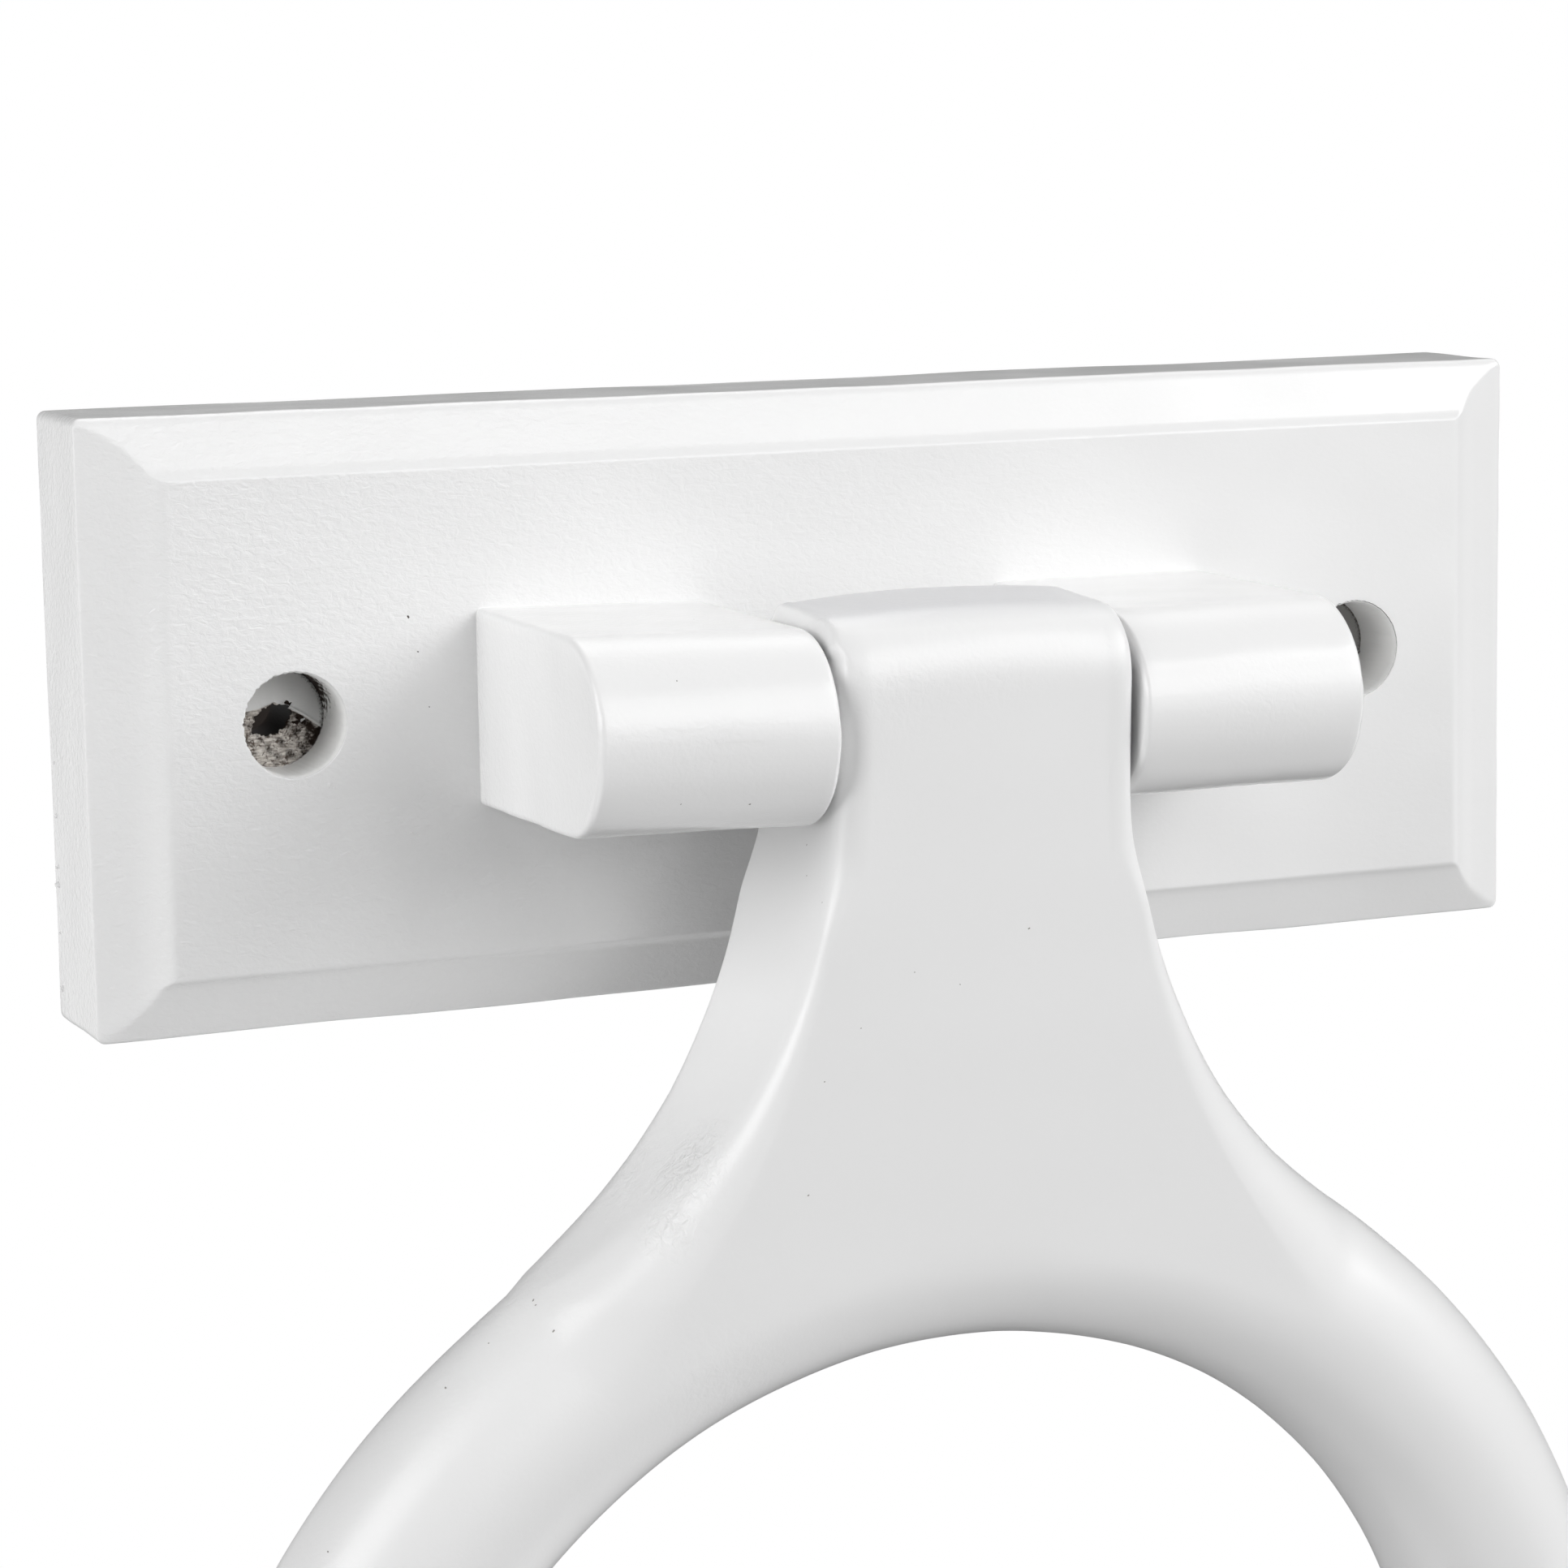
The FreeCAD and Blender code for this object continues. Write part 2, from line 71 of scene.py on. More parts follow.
BACK_EDGE_ROUND = 0.5
FRONT_Y = -(PLATE_WALL + BEVEL_RISE)
# The front's grid: how wide the close lines at the ends and along the long edges are, how many there are,
# and the step between the others.
END_LINES = (7.0, 40)
LONG_LINES = (6.0, 48)
FLAT_STEP = 0.62

# The screw holes and the recesses for the screw heads.
SCREW_X = 47.35
SCREW_HOLE_RADIUS = 2.2
RECESS_RADIUS = 4.07
RECESS_DEPTH = 6.0
RECESS_FOOT = 0.15
RECESS_LIP = 0.2
RECESS_CHIPS = 0.05
RECESS_SEGMENTS = 320
CHIP_WAVES = [(29, 1.1), (43, 0.3), (61, 2.0), (17, 0.0)]
CUT_OVERRUN = 2.0

# The lining of a recess. The paint film over its floor leaves a leaf-shaped opening, which rises by an angle
# and has small tears: a height, a count round the turn and a start. Above a fold the film is whole. The
# fold rises over a stretch from left to right, and below it lie scraped iron and a torn patch.
LINING_THICK = 0.04
OPENING_MIDDLE = (-0.15, -0.3)
OPENING_LEAN = math.radians(28)
OPENING_HALF_LENGTH = 1.75
OPENING_HALF_WIDTH = 1.12
OPENING_SQUARENESS = 1.7
OPENING_TEARS = [(0.05, 9, 0.4), (0.035, 17, 1.9), (0.02, 31, 0.0)]
FOLD_LINE = [(-4.1, 0.4), (-1.0, 0.85), (0.1, 1.25), (1.15, 0.75), (2.4, 0.05), (4.1, -1.2)]
FILM_BELOW_FOLD = 0.16
FILM_FADE = 0.1
FOLD_WIDTH = 0.13
FOLD_RISE = 0.22
FOLD_START = (0.2, 1.0)
LINING_LIFT = 0.05
SAG_DEPTH = 0.25
SAG_STEEPNESS = 14
SCRAPE_HEIGHT = 0.05
TORN_PLACE = (1.9, -0.45)
TORN_SIZE = (0.75, 0.42)
TORN_DEPTH = 0.3
TORN_RAG = 0.25
RIPPLE_LENGTH = 0.45
CRUST_LENGTH = 0.9
SPECKLE_LENGTH = 0.5
# How sooty each part of the recess is, from 0 to 1, where the darkening round the floor's outer edge, at
# the opening and along the wall's foot is painted shade; and how strong the painted shade, a grey-brown
# darkening, is on the film, the wall and the hidden recess's floor.
SOOT_ON_IRON = 0.27
SOOT_IN_CRUST = 0.22
SOOT_AT_RIGHT = 0.5
SOOT_IN_TORN = 0.45
SOOT_ON_FILM = 0.04
SHADE_AT_RIM = 0.5
SHADE_AT_OPENING = 0.8
SHADE_AT_FOOT = 0.55
SOOT_AND_SHADE_HEADING = math.radians(52)
PAINTED_SHADE_VEIL = 0.12
HIDDEN_RECESS_SHADE = 0.7
# The lining's skin: how far behind the plate's front it starts, how much it flares there and over what
# share of its depth. Its hidden side lies a little behind the floor and outside the wall, and ends just
# before the plate's back.
LINING_START = 0.25
LINING_FLARE = 0.03
LINING_FLARE_SHARE = 0.06
LINING_BACK = 0.12
LINING_BACK_UNDER_FILM = 0.08
LINING_BACK_STEP = 0.02
LINING_HOLE_ROOM = 0.1
LINING_END_Y = -0.15

# The lugs and the pin.
LUG_INNER = 12.8
LUG_LENGTH = 19.6
LUG_NOSE_RADIUS = 7.6
LUG_ROOT_HALF = 7.85
LUG_EDGE_ROUND = 0.6
LUG_SINK = 3.0
LUG_FIRST_ROW = 0.5
LEFT_LUG_LIFT = 0.5
LEFT_LUG_DEEPER = 0.25
PIN_Y = -34.1
PIN_RADIUS = 2.38
PIN_RUNNING_ROOM = 0.06
PIN_BLIND_DEPTH = 14.0

# The ring casting, drawn about the pin's axis and then tipped by its hang angle.
HANG_ANGLE = math.radians(2.9)
RING_SETBACK = 2.2
RING_DROP = 98.3
RING_MEAN_RADIUS = 56.2
BAR_RADIUS = 8.85
KNUCKLE_HALF = 12.2
KNUCKLE_TOP = 9.25
KNUCKLE_CROWN = 0.7
KNUCKLE_CROWN_RADIUS = (KNUCKLE_HALF**2 + KNUCKLE_CROWN**2) / (2 * KNUCKLE_CROWN)
KNUCKLE_ROUND = 6.0
KNUCKLE_SQUARENESS = 2.3
KNUCKLE_CORNER = 1.5
KNUCKLE_SIDE_ROUND = 2.2
FLARE_START = -2.4
FLARE_RADIUS = 47.0
FLARE_TURN = math.radians(36.0)
NECK_EDGE_ROUND = 0.5
NECK_ROUND_GROWTH = 2.0
# The knuckle's larger side round fades in between these two levels below the pin.
SIDE_ROUND_FADE_Z = (-16.0, -9.0)
# Inside the knuckle the surface's lines end on a smaller outline: how far in from the sides, at the foot of
# the corner and at its end, and how far below the top's round.
KNUCKLE_CORE_INSET = 2.2
KNUCKLE_CORE_END_INSET = 3.2
KNUCKLE_CORE_DROP = 0.6
# Rows of the ring's surface: over the edge round, across the face and over the inner half-round. An edge
# round's rows end short of its top, and the outer wall below it takes a small share of the way.
BAND_END = math.radians(80)
BAND_ROWS = 18
FACE_ROWS = 34
INNER_ROWS = 12
WALL_SHARE = 0.3

# How the castings stray from their drawn shape. Waves are a height, a length and a seed, and the paint's
# surface lies a little inside the drawn one to make room for them.
PLATE_WAVES = [(0.03, 9.0, 3), (0.05, 34.0, 4)]
RING_WAVES = [(0.03, 14.0, 5), (0.05, 45.0, 6)]
WAVE_ROOM = 0.1
BEAD_HEIGHT = 0.24
BEAD_UNEVENNESS = (0.1, 1.7, 7)
BEAD_WIDTH = 0.6
BEAD_INSET = 0.3
BEAD_FADE_Z = (1.5, 4.5)
KNUCKLE_RIGHT_SHIFT = 0.28
KNUCKLE_RIGHT_FADE_Z = (-45.0, -20.0)
KNUCKLE_RIGHT_FULLER = 0.42
KNUCKLE_FULLER_FADE_Z = (-16.0, -4.0)
RIGHT_HALF_FADE_X = (6.0, 10.0)
NECK_SIDES_FADE_X = (4.0, 8.0)
# How far the neck's sides stray: a height and an outward step.
NECK_LEFT_STRAY = [
    (-14, 0.0), (-20, -0.28), (-25, -0.45), (-30, -0.6), (-34, -0.45), (-37.5, -0.18), (-41, 0.2),
    (-43, 0.35), (-45, 0.1), (-47, 0.0),
]
NECK_RIGHT_STRAY = [
    (-32, 0.0), (-38, 0.2), (-40, 0.33), (-42, 0.38), (-44, 0.36), (-46, 0.24), (-48, 0.15), (-54, 0.0),
]

# The photograph's camera, in millimetres, degrees and the photograph's pixels.
PHOTO_SIZE = 1932
CAMERA_PLACE = (-145.15, -341.63, 45.96)
CAMERA_YAW = 23.002
CAMERA_PITCH = 8.582
CAMERA_ROLL = 0.977
FOCAL_PIXELS = 5430.5
SENSOR_WIDTH = 36.0

# Blemishes as the photograph shows them: a pixel across and down, and a radius in millimetres.
PLATE_PINHOLES = [
    (503, 760, 0.13), (515, 803, 0.08), (529, 871, 0.06), (855, 763, 0.06), (966, 770, 0.07),
    (834, 839, 0.06), (924, 991, 0.09), (839, 991, 0.06),
]
PLATE_LUMPS = [(405, 967, 0.16), (412, 971, 0.12), (507, 1026, 0.12), (262, 577, 0.1)]
PLATE_BURRS = [
    (70, 1005, 0.22), (72, 1068, 0.2), (73, 1090, 0.3), (75, 1150, 0.14), (78, 1218, 0.24), (67, 940, 0.12),
]
RING_PINHOLES = [
    (994, 1041, 0.08), (994, 1079, 0.07), (1013, 1112, 0.06), (1127, 1198, 0.06), (1268, 1144, 0.1),
    (1183, 1213, 0.06), (1016, 1333, 0.07), (996, 1473, 0.09), (1061, 1267, 0.06), (657, 1602, 0.12),
    (660, 1608, 0.09), (682, 1640, 0.12), (602, 1655, 0.08), (549, 1710, 0.12), (404, 1912, 0.1),
]
# How high each kind of blemish stands, as a share of its radius.
PINHOLE_RISE = 0.1
LUMP_RISE = 0.5
BURR_RISE = 1.1

# Rough patches of the castings: a pixel across and down, a reach and a height in millimetres. The limit is
# the height of the patches' full bump.
PLATE_ROUGH_SPOTS = [
    (880, 905, 10.0, 0.05), (760, 900, 5.0, 0.04), (560, 1080, 16.0, 0.05), (1560, 870, 9.0, 0.04),
]
RING_ROUGH_SPOTS = [
    (848, 1435, 5.5, 0.4), (824, 1512, 3.5, 0.36), (775, 1450, 8.0, 0.12), (640, 1600, 8.0, 0.11),
    (560, 1700, 8.0, 0.08), (880, 1700, 8.0, 0.07), (1010, 765, 3.0, 0.16), (1110, 830, 7.0, 0.07),
    (1230, 820, 6.0, 0.05), (1150, 745, 10.0, 0.08), (1300, 745, 8.0, 0.08), (930, 1260, 6.0, 0.04),
]
ROUGH_LIMIT = 0.4

# How wide, long or far apart the marks of each finish's patterns are, in millimetres.
PEEL_WIDTH = 4 / 3
GRAIN_WIDTH = 0.625
ROUGH_LUMP_WIDTH = 0.8
SHINE_PATCH_WIDTH = 100 / 9
SCRATCH_LENGTH = 5 / 7
SCRATCH_SPACING = 2 / 13
RUST_PIT_WIDTH = 10 / 23
SOOT_GRAIN_WIDTH = 5 / 26
SPECK_GRAIN_WIDTH = 1 / 6
DRAW_LINE_LENGTH = 50 / 3
DRAW_LINE_SPACING = 0.25

# The paint: its colour, the height of the grain, the grain's stretch along the axes, and the roughness it
# varies between. The grain grows from right to left, and from in front of the plate up to its face. Painted
# shade greys the knuckle's top, where it faces up, between two heights above the pin.
PAINT_COLOUR = "#F0F0F0"
PLATE_GRAIN = (0.11, (0.7, 1.0, 1.15))
PLATE_SHINE = (0.2, 0.26)
RING_GRAIN = (0.07, (1.0, 1.0, 1.0))
RING_SHINE = (0.285, 0.34)
GRAIN_FADE_X = (30.0, -45.0)
GRAIN_FADE_Y = (FRONT_Y - 2.0, FRONT_Y - 0.3)
TOP_SHADE_FADE_Z = (7.5, 8.8)

# The studio, in metres: a floor below the ring, with a wide round up to a wall, and the glowing dark cards
# of painted shade behind the screw holes, in millimetres.
FLOOR_Z = -0.19
STUDIO_RADIUS = 3.0
STUDIO_HEIGHT = 4.0
CARD_RADIUS = 2.4
CARD_FRONT_Y = 0.25
CARD_BACK_Y = 0.35
# Soft bright regions of the sky: a name, a direction and a strength.
SKY_FOCUS = 16.0
SKY_REGIONS = [
    ("sky_front_low", (0.0, -0.75, -0.66), 0.97),
    ("sky_right_front", (0.7, -0.7, 0.16), 0.82),
    ("sky_left_low", (-0.66, -0.06, -0.75), 2.32),
    ("sky_right_low", (0.82, -0.07, -0.57), 1.31),
    ("sky_top_back", (0.2, 0.55, 0.81), 2.7),
    ("sky_below", (0.35, 0.1, -0.93), 1.0),
    ("sky_back", (-0.37, 0.89, -0.25), 1.15),
]
# Soft square lamps, in metres: a name, degrees to the right of straight ahead, degrees up, and a power in
# watts.
LAMP_DISTANCE = 1.3
LAMP_WIDTH = 0.8
LAMP_AIM = (0, -0.02, -0.03)
LAMPS = [
    ("lamp_left", -75, 24, 8.6),
    ("lamp_left_low", -92, 2, 4.1),
    ("lamp_front", 2, 28, 3.2),
    ("lamp_front_right", 30, 28, 3.7),
    ("lamp_front_low", 30, 12, 2.1),
    ("lamp_right", 62, 28, 7.7),
]


def fade(value, start, end):
    """How far a value has gone from start to end, as a share held between 0 and 1."""
    return np.clip((value - start) / (end - start), 0, 1)


def grid_faces(rows, columns, wrap_rows=False, wrap_columns=False):
    """Quads of a grid of points numbered row by row; a closed direction runs on from its end to its start."""
    row = np.arange(rows if wrap_rows else rows - 1)
    column = np.arange(columns if wrap_columns else columns - 1)
    row, column = np.meshgrid(row, column, indexing="ij")
    below = (row + 1) % rows
    beside = (column + 1) % columns
    corners = [(row, column), (below, column), (below, beside), (row, beside)]
    return np.stack([r * columns + c for r, c in corners], axis=-1).reshape(-1, 4).tolist()


def make_piece(name, sheets, merge=True):
    """One object from sheets of (points in millimetres, faces): seams are merged, faces turned outwards."""
    points = []
    faces = []
    total = 0
    for sheet_points, sheet_faces in sheets:
        flat = np.asarray(sheet_points, float).reshape(-1, 3)
        points.append(flat)
        faces += [[total + i for i in face] for face in sheet_faces]
        total += len(flat)
    mesh = bpy.data.meshes.new(name)
    mesh.from_pydata((np.concatenate(points) * MM).tolist(), [], faces)
    joined = bmesh.new()
    joined.from_mesh(mesh)
    if merge:
        bmesh.ops.remove_doubles(joined, verts=joined.verts, dist=MERGE_DISTANCE * MM)
    bmesh.ops.recalc_face_normals(joined, faces=joined.faces)
    joined.to_mesh(mesh)
    joined.free()
    piece = bpy.data.objects.new(name, mesh)
    bpy.context.scene.collection.objects.link(piece)
    return piece


def apply_booleans(piece, cuts):
    """Applies exact booleans in order, each an (operation, object) pair, and removes the objects used."""
    for number, (operation, other) in enumerate(cuts):
        step = piece.modifiers.new("cut%d" % number, "BOOLEAN")
        step.operation = operation
        step.solver = "EXACT"
        step.object = other
    solved = piece.evaluated_get(bpy.context.evaluated_depsgraph_get())
    mesh = bpy.data.meshes.new_from_object(solved)
    piece.modifiers.clear()
    piece.data = mesh
    for _, other in cuts:
        bpy.data.objects.remove(other)


def lumps(points, wavelength, seed):
    """Gentle unevenness between about -1 and 1: sine waves of near one length in scattered directions."""
    draw = np.random.default_rng(seed)
    total = np.zeros(len(points))
    waves = 14
    for _ in range(waves):
        direction = draw.normal(size=3)
        direction /= np.linalg.norm(direction)
        length = wavelength * draw.uniform(0.7, 1.5)
        total += np.sin(points @ direction * (2 * math.pi / length) + draw.uniform(0, 2 * math.pi))
    return total / math.sqrt(waves)


def casting_waves(points, waves):
    """The soft waves of a casting's surface, as an outward step for each point."""
    return sum(height * lumps(points, length, seed) for height, length, seed in waves) - WAVE_ROOM


def settle_surface(piece, offset_of):
    """Moves each point along its normal by offset_of(points, normals), in millimetres."""
    mesh = piece.data
    points = np.empty(len(mesh.vertices) * 3)
    mesh.vertices.foreach_get("co", points)
    normals = np.empty(len(mesh.vertices) * 3)
    mesh.vertex_normals.foreach_get("vector", normals)
    points = points.reshape(-1, 3) / MM
    normals = normals.reshape(-1, 3)
    moved = points + normals * offset_of(points, normals)[:, None]
    mesh.vertices.foreach_set("co", (moved * MM).ravel())
    mesh.update()


def chipped_edge(angle):
    """How the recess's edge strays round the turn: little on the right, small chips on the left."""
    fine = sum(np.sin(count * angle + start) for count, start in CHIP_WAVES)
    left = np.clip(-np.cos(angle + 0.5), 0, 1)
    return np.sin(3 * angle + 0.7) * 0.5 + fine * (0.12 + 0.5 * left)


def turned(profile, centre, segments, chips=0.0):
    """A closed solid of revolution about a line along Y: profile rows are (radius, y), ends at radius 0.

    With chips, its reach outside the screw hole varies round the turn by that much.
    """
    radius, depth = np.array(profile, float).T
    angle = np.linspace(0, 2 * math.pi, segments, endpoint=False)
    outside_hole = (radius > SCREW_HOLE_RADIUS + 0.5)[:, None]
    reach = radius[:, None] + chips * chipped_edge(angle)[None, :] * outside_hole
    x = centre[0] + reach * np.cos(angle)
    z = centre[1] + reach * np.sin(angle)
    y = np.repeat(depth[:, None], segments, axis=1)
    return np.stack([x, y, z], axis=-1), grid_faces(len(profile), segments, wrap_columns=True)


def bar_along_x(first, last, radius, segments=64):
    """A plain round bar about the pin's axis, closed at both ends by a pole."""
    x = np.array([first, first, last, last])
    reach = np.array([0, radius, radius, 0])
    angle = np.linspace(0, 2 * math.pi, segments, endpoint=False)
    y = PIN_Y + np.outer(reach, np.cos(angle))
    z = np.outer(reach, np.sin(angle))
    points = np.stack([np.repeat(x[:, None], segments, axis=1), y, z], axis=-1)
    return points, grid_faces(len(x), segments, wrap_columns=True)


def soft_min(a, b, softness):
    """The smaller of two heights, with the corner between them rounded off over the softness."""
    overlap = np.clip(0.5 + 0.5 * (b - a) / softness, 0, 1)
    return b * (1 - overlap) + a * overlap - softness * overlap * (1 - overlap)


def slope_height(share, curve, steepness):
    """Height of a slope, from 0 to 1, at a share of its run: gentle from the rim, then a steep step."""
    gentle = SLOPE_FOOT_SHARE * (1 - (1 - np.clip(share, 0, 1)) ** curve)
    steep = 1 + steepness * (share - 1)
    return -soft_min(-gentle, -steep, STEP_SOFTNESS)


def plate_front(x, z):
    """Y of the plate's front: flat in the middle, with slopes that run down to all four edges.

    The top and bottom slopes are straight and the end slopes are hollow, which bends the mitres between
    them. All four end in a small steep step below the rounded crest. The left slope is a little wider at
    its top.
    """
    run_ends = BEVEL_RUN_ENDS + LEFT_SLOPE_TILT * np.where(x < 0, z, 0)
    from_end = np.clip((PLATE_HALF_WIDTH - np.abs(x)) / run_ends, 0, None)
    from_long = np.clip((PLATE_HALF_HEIGHT - np.abs(z)) / BEVEL_RUN_LONG, 0, None)
    end_slope = slope_height(from_end, END_SLOPE_CURVE, END_CREST_STEEPNESS)
    long_slope = slope_height(from_long, 1.0, LONG_CREST_STEEPNESS)
    slope = soft_min(end_slope, long_slope, MITRE_SOFTNESS / BEVEL_RUN_LONG)
    height = soft_min(slope, np.ones_like(slope), CREST_SOFTNESS / BEVEL_RUN_LONG)
    return -(PLATE_WALL + BEVEL_RISE * height)


def graded_lines(half, edge, edge_count):
    """Grid lines from -half to half: close together within the edge, and a flat step apart between."""
    outer = np.linspace(half, half - edge, edge_count)
    inner_half = outer[-1]
    count = int(round(2 * inner_half / FLAT_STEP))
    inner = np.linspace(-inner_half, inner_half, count + 1)
    return np.concatenate([-outer[:-1], inner, outer[:-1][::-1]])


def plate_slab():
    """The plate without lugs and holes: a grid for the front, then loops over the rim, down the walls and
    round to a flat back. The loops turn about each corner in a fan, which rounds it.
    """
    inset = PLATE_CORNER_ROUND
    half_x = PLATE_HALF_WIDTH - inset
    half_z = PLATE_HALF_HEIGHT - inset
    x_lines = graded_lines(half_x, *END_LINES)
    z_lines = graded_lines(half_z, *LONG_LINES)
    x, z = np.meshgrid(x_lines, z_lines, indexing="ij")
    front = np.stack([x, plate_front(x, z), z], axis=-1), grid_faces(len(x_lines), len(z_lines))

    fan = np.radians(np.linspace(0, 90, 7))
    edge_points = []
    outward = []
    sides = (
        (x_lines, np.full_like(x_lines, half_z), math.pi / 2),
        (np.full_like(z_lines, half_x), z_lines[::-1], 0.0),
        (x_lines[::-1], np.full_like(x_lines, -half_z), -math.pi / 2),
        (np.full_like(z_lines, -half_x), z_lines, math.pi),
    )
    for side_x, side_z, heading in sides:
        turn = heading - fan
        edge_points.append(np.stack([side_x, side_z], axis=-1))
        outward.append(np.tile([math.cos(heading), math.sin(heading)], (len(side_x), 1)))
        edge_points.append(np.tile([side_x[-1], side_z[-1]], (len(fan), 1)))
        outward.append(np.stack([np.cos(turn), np.sin(turn)], axis=-1))
    edge_points = np.concatenate(edge_points)
    outward = np.concatenate(outward)
    start_y = plate_front(edge_points[:, 0], edge_points[:, 1])

    # The slope runs on to a small round, which is a curve with the slope's tangent and the wall's. It is
    # larger along the top.
    share = np.linspace(0, 1, 9)[:, None]
    upward = np.clip(outward[:, 1], 0, 1)
    edge_round = PLATE_EDGE_ROUND + (PLATE_TOP_EDGE_ROUND - PLATE_EDGE_ROUND) * upward
    before_round = inset - edge_round
    round_y = start_y + (-PLATE_WALL - start_y) * before_round / inset
    wall_y = -(PLATE_WALL - edge_round)
    reach = before_round + (2 * share * (1 - share) + share**2) * edge_round
    rim_y = (1 - share) ** 2 * round_y - 2 * share * (1 - share) * PLATE_WALL + share**2 * wall_y
    reach = np.concatenate([np.zeros_like(before_round)[None], before_round[None] / 2, reach])
    rim_y = np.concatenate([start_y[None], (start_y + round_y)[None] / 2, rim_y])

    # Down the wall, round the back edge and a little way in over the back.
    wall = np.linspace(wall_y, np.full_like(wall_y, -BACK_EDGE_ROUND), 12)[1:]
    angle = np.linspace(0, math.pi / 2, 6)[1:, None]
    back_reach = inset - BACK_EDGE_ROUND * (1 - np.cos(angle))
    back_y = -BACK_EDGE_ROUND * (1 - np.sin(angle))
    last = len(edge_points)
    back_reach = np.tile(np.concatenate([back_reach, [[0.0]]]), last)
    reach = np.concatenate([reach, np.full_like(wall, inset), back_reach])
    loop_y = np.concatenate([rim_y, wall, np.tile(back_y, last), np.zeros((1, last))])
    loop_x = edge_points[:, 0] + reach * outward[:, 0]
    loop_z = edge_points[:, 1] + reach * outward[:, 1]
    loops = np.stack([loop_x, loop_y, loop_z], axis=-1)
    faces = grid_faces(len(reach), last, wrap_columns=True)
    back_face = list(range((len(reach) - 1) * last, len(reach) * last))
    return [front, (loops, faces + [back_face])]


def lug(side):
    """One lug as a closed shell, sunk into the plate at its root.

    A lug's side view is as high, at each distance from the wall, as its flanks and then its round nose.
    Rows lie at those distances. Each row runs once round the lug: along the top, down the outer end, back
    along the bottom and up the inner end, with small rounds at the corners.
    """
    flank = np.linspace(FRONT_Y - LUG_FIRST_ROW, PIN_Y, 26)
    nose = np.radians(np.concatenate([np.linspace(0, 80, 29)[1:], np.linspace(80, 89.8, 12)[1:]]))
    depth = np.concatenate([[FRONT_Y + LUG_SINK], flank, PIN_Y - LUG_NOSE_RADIUS * np.sin(nose)])
    draw_in = (LUG_ROOT_HALF - LUG_NOSE_RADIUS) / (PIN_Y - FRONT_Y)
    flank_half = LUG_ROOT_HALF + draw_in * (FRONT_Y - depth)
    past_pin = np.clip(PIN_Y - depth, 0, LUG_NOSE_RADIUS)
    nose_half = np.sqrt(LUG_NOSE_RADIUS**2 - past_pin**2)
    half = np.where(depth < PIN_Y, nose_half, flank_half)[:, None]

    # The ends' small rounds follow the nose: past the inner outline's tip they narrow to a point.
    inset_radius = LUG_NOSE_RADIUS - LUG_EDGE_ROUND
    inset_nose = np.sqrt(np.clip(inset_radius**2 - past_pin**2, 0, None))
    inset_half = np.where(depth < PIN_Y, inset_nose, half[:, 0] - LUG_EDGE_ROUND)[:, None]
    past_inset = np.clip(past_pin - inset_radius, 0, LUG_EDGE_ROUND)
    end_round = np.sqrt(LUG_EDGE_ROUND**2 - past_inset**2)[:, None]
    straight = LUG_LENGTH / 2 - LUG_EDGE_ROUND
    turn = np.linspace(0, math.pi / 2, 7)
    along = np.linspace(-1, 1, 30)[None, 1:-1] * straight
    down = np.linspace(1, -1, 22)[1:-1]
    corner = np.stack(
        [straight + end_round * np.sin(turn), inset_half + (half - inset_half) * np.cos(turn)], axis=-1
    )
    top = np.stack(np.broadcast_arrays(along, half), axis=-1)
    end = np.stack(np.broadcast_arrays(straight + end_round, down * inset_half), axis=-1)
    turned_back = corner[:, ::-1]
    loop = [top, corner, end, turned_back * [1, -1], -top, -corner, -end, turned_back * [-1, 1]]
    grid = np.concatenate(loop, axis=1)
    rows, columns = grid.shape[:2]
    x = grid[..., 0] + LUG_INNER + LUG_LENGTH / 2
    z = grid[..., 1]
    y = np.repeat(depth[:, None], columns, axis=1)
    if side < 0:
        z = z + LEFT_LUG_LIFT * np.clip((x - LUG_INNER) / LUG_LENGTH, 0, 1)
        z = z + LEFT_LUG_DEEPER * np.clip(z / LUG_NOSE_RADIUS, -1, 0)
        x = -x
    root = list(range(columns))
    tip = list(range((rows - 1) * columns, rows * columns))
    return np.stack([x, y, z], axis=-1), grid_faces(rows, columns, wrap_columns=True) + [root, tip]


def recess_cutter(side):
    """What the screw and its head take out of the plate: a hole, a flat-floored recess and a soft lip."""
    floor_y = FRONT_Y + RECESS_DEPTH
    lip = [
        (RECESS_RADIUS + RECESS_LIP * (1 - math.cos(turn)), FRONT_Y + RECESS_LIP * (1 - math.sin(turn)))
        for turn in np.linspace(0, math.pi / 2, 7)
    ]
    profile = [
        (0, CUT_OVERRUN),
        (SCREW_HOLE_RADIUS, CUT_OVERRUN),
        (SCREW_HOLE_RADIUS, floor_y),
        (RECESS_RADIUS - RECESS_FOOT, floor_y),
        (RECESS_RADIUS, floor_y - RECESS_FOOT),
        *lip,
        (RECESS_RADIUS + RECESS_LIP, FRONT_Y - CUT_OVERRUN),
        (0, FRONT_Y - CUT_OVERRUN),
    ]
    return turned(profile, (side * SCREW_X, 0), RECESS_SEGMENTS, RECESS_CHIPS)


def build_plate_casting():
    """The plate and its two lugs, one casting, with the screw holes and the pin's bore cut out."""
    casting = make_piece("plate_casting", plate_slab())
    cuts = [("UNION", make_piece("lug%d" % side, [lug(side)])) for side in (-1, 1)]
    cuts += [("DIFFERENCE", make_piece("recess%d" % side, [recess_cutter(side)])) for side in (-1, 1)]
    bore = bar_along_x(-LUG_INNER - PIN_BLIND_DEPTH, LUG_INNER + LUG_LENGTH + CUT_OVERRUN, PIN_RADIUS)
    cuts.append(("DIFFERENCE", make_piece("bore", [bore])))
    apply_booleans(casting, cuts)
    return casting


def plate_unevenness(points, normals):
    """The plate casting's soft waves. Its back, which lies on the wall, stays flat."""
    return casting_waves(points, PLATE_WAVES) * np.clip(1 - normals[:, 1], 0, 1)


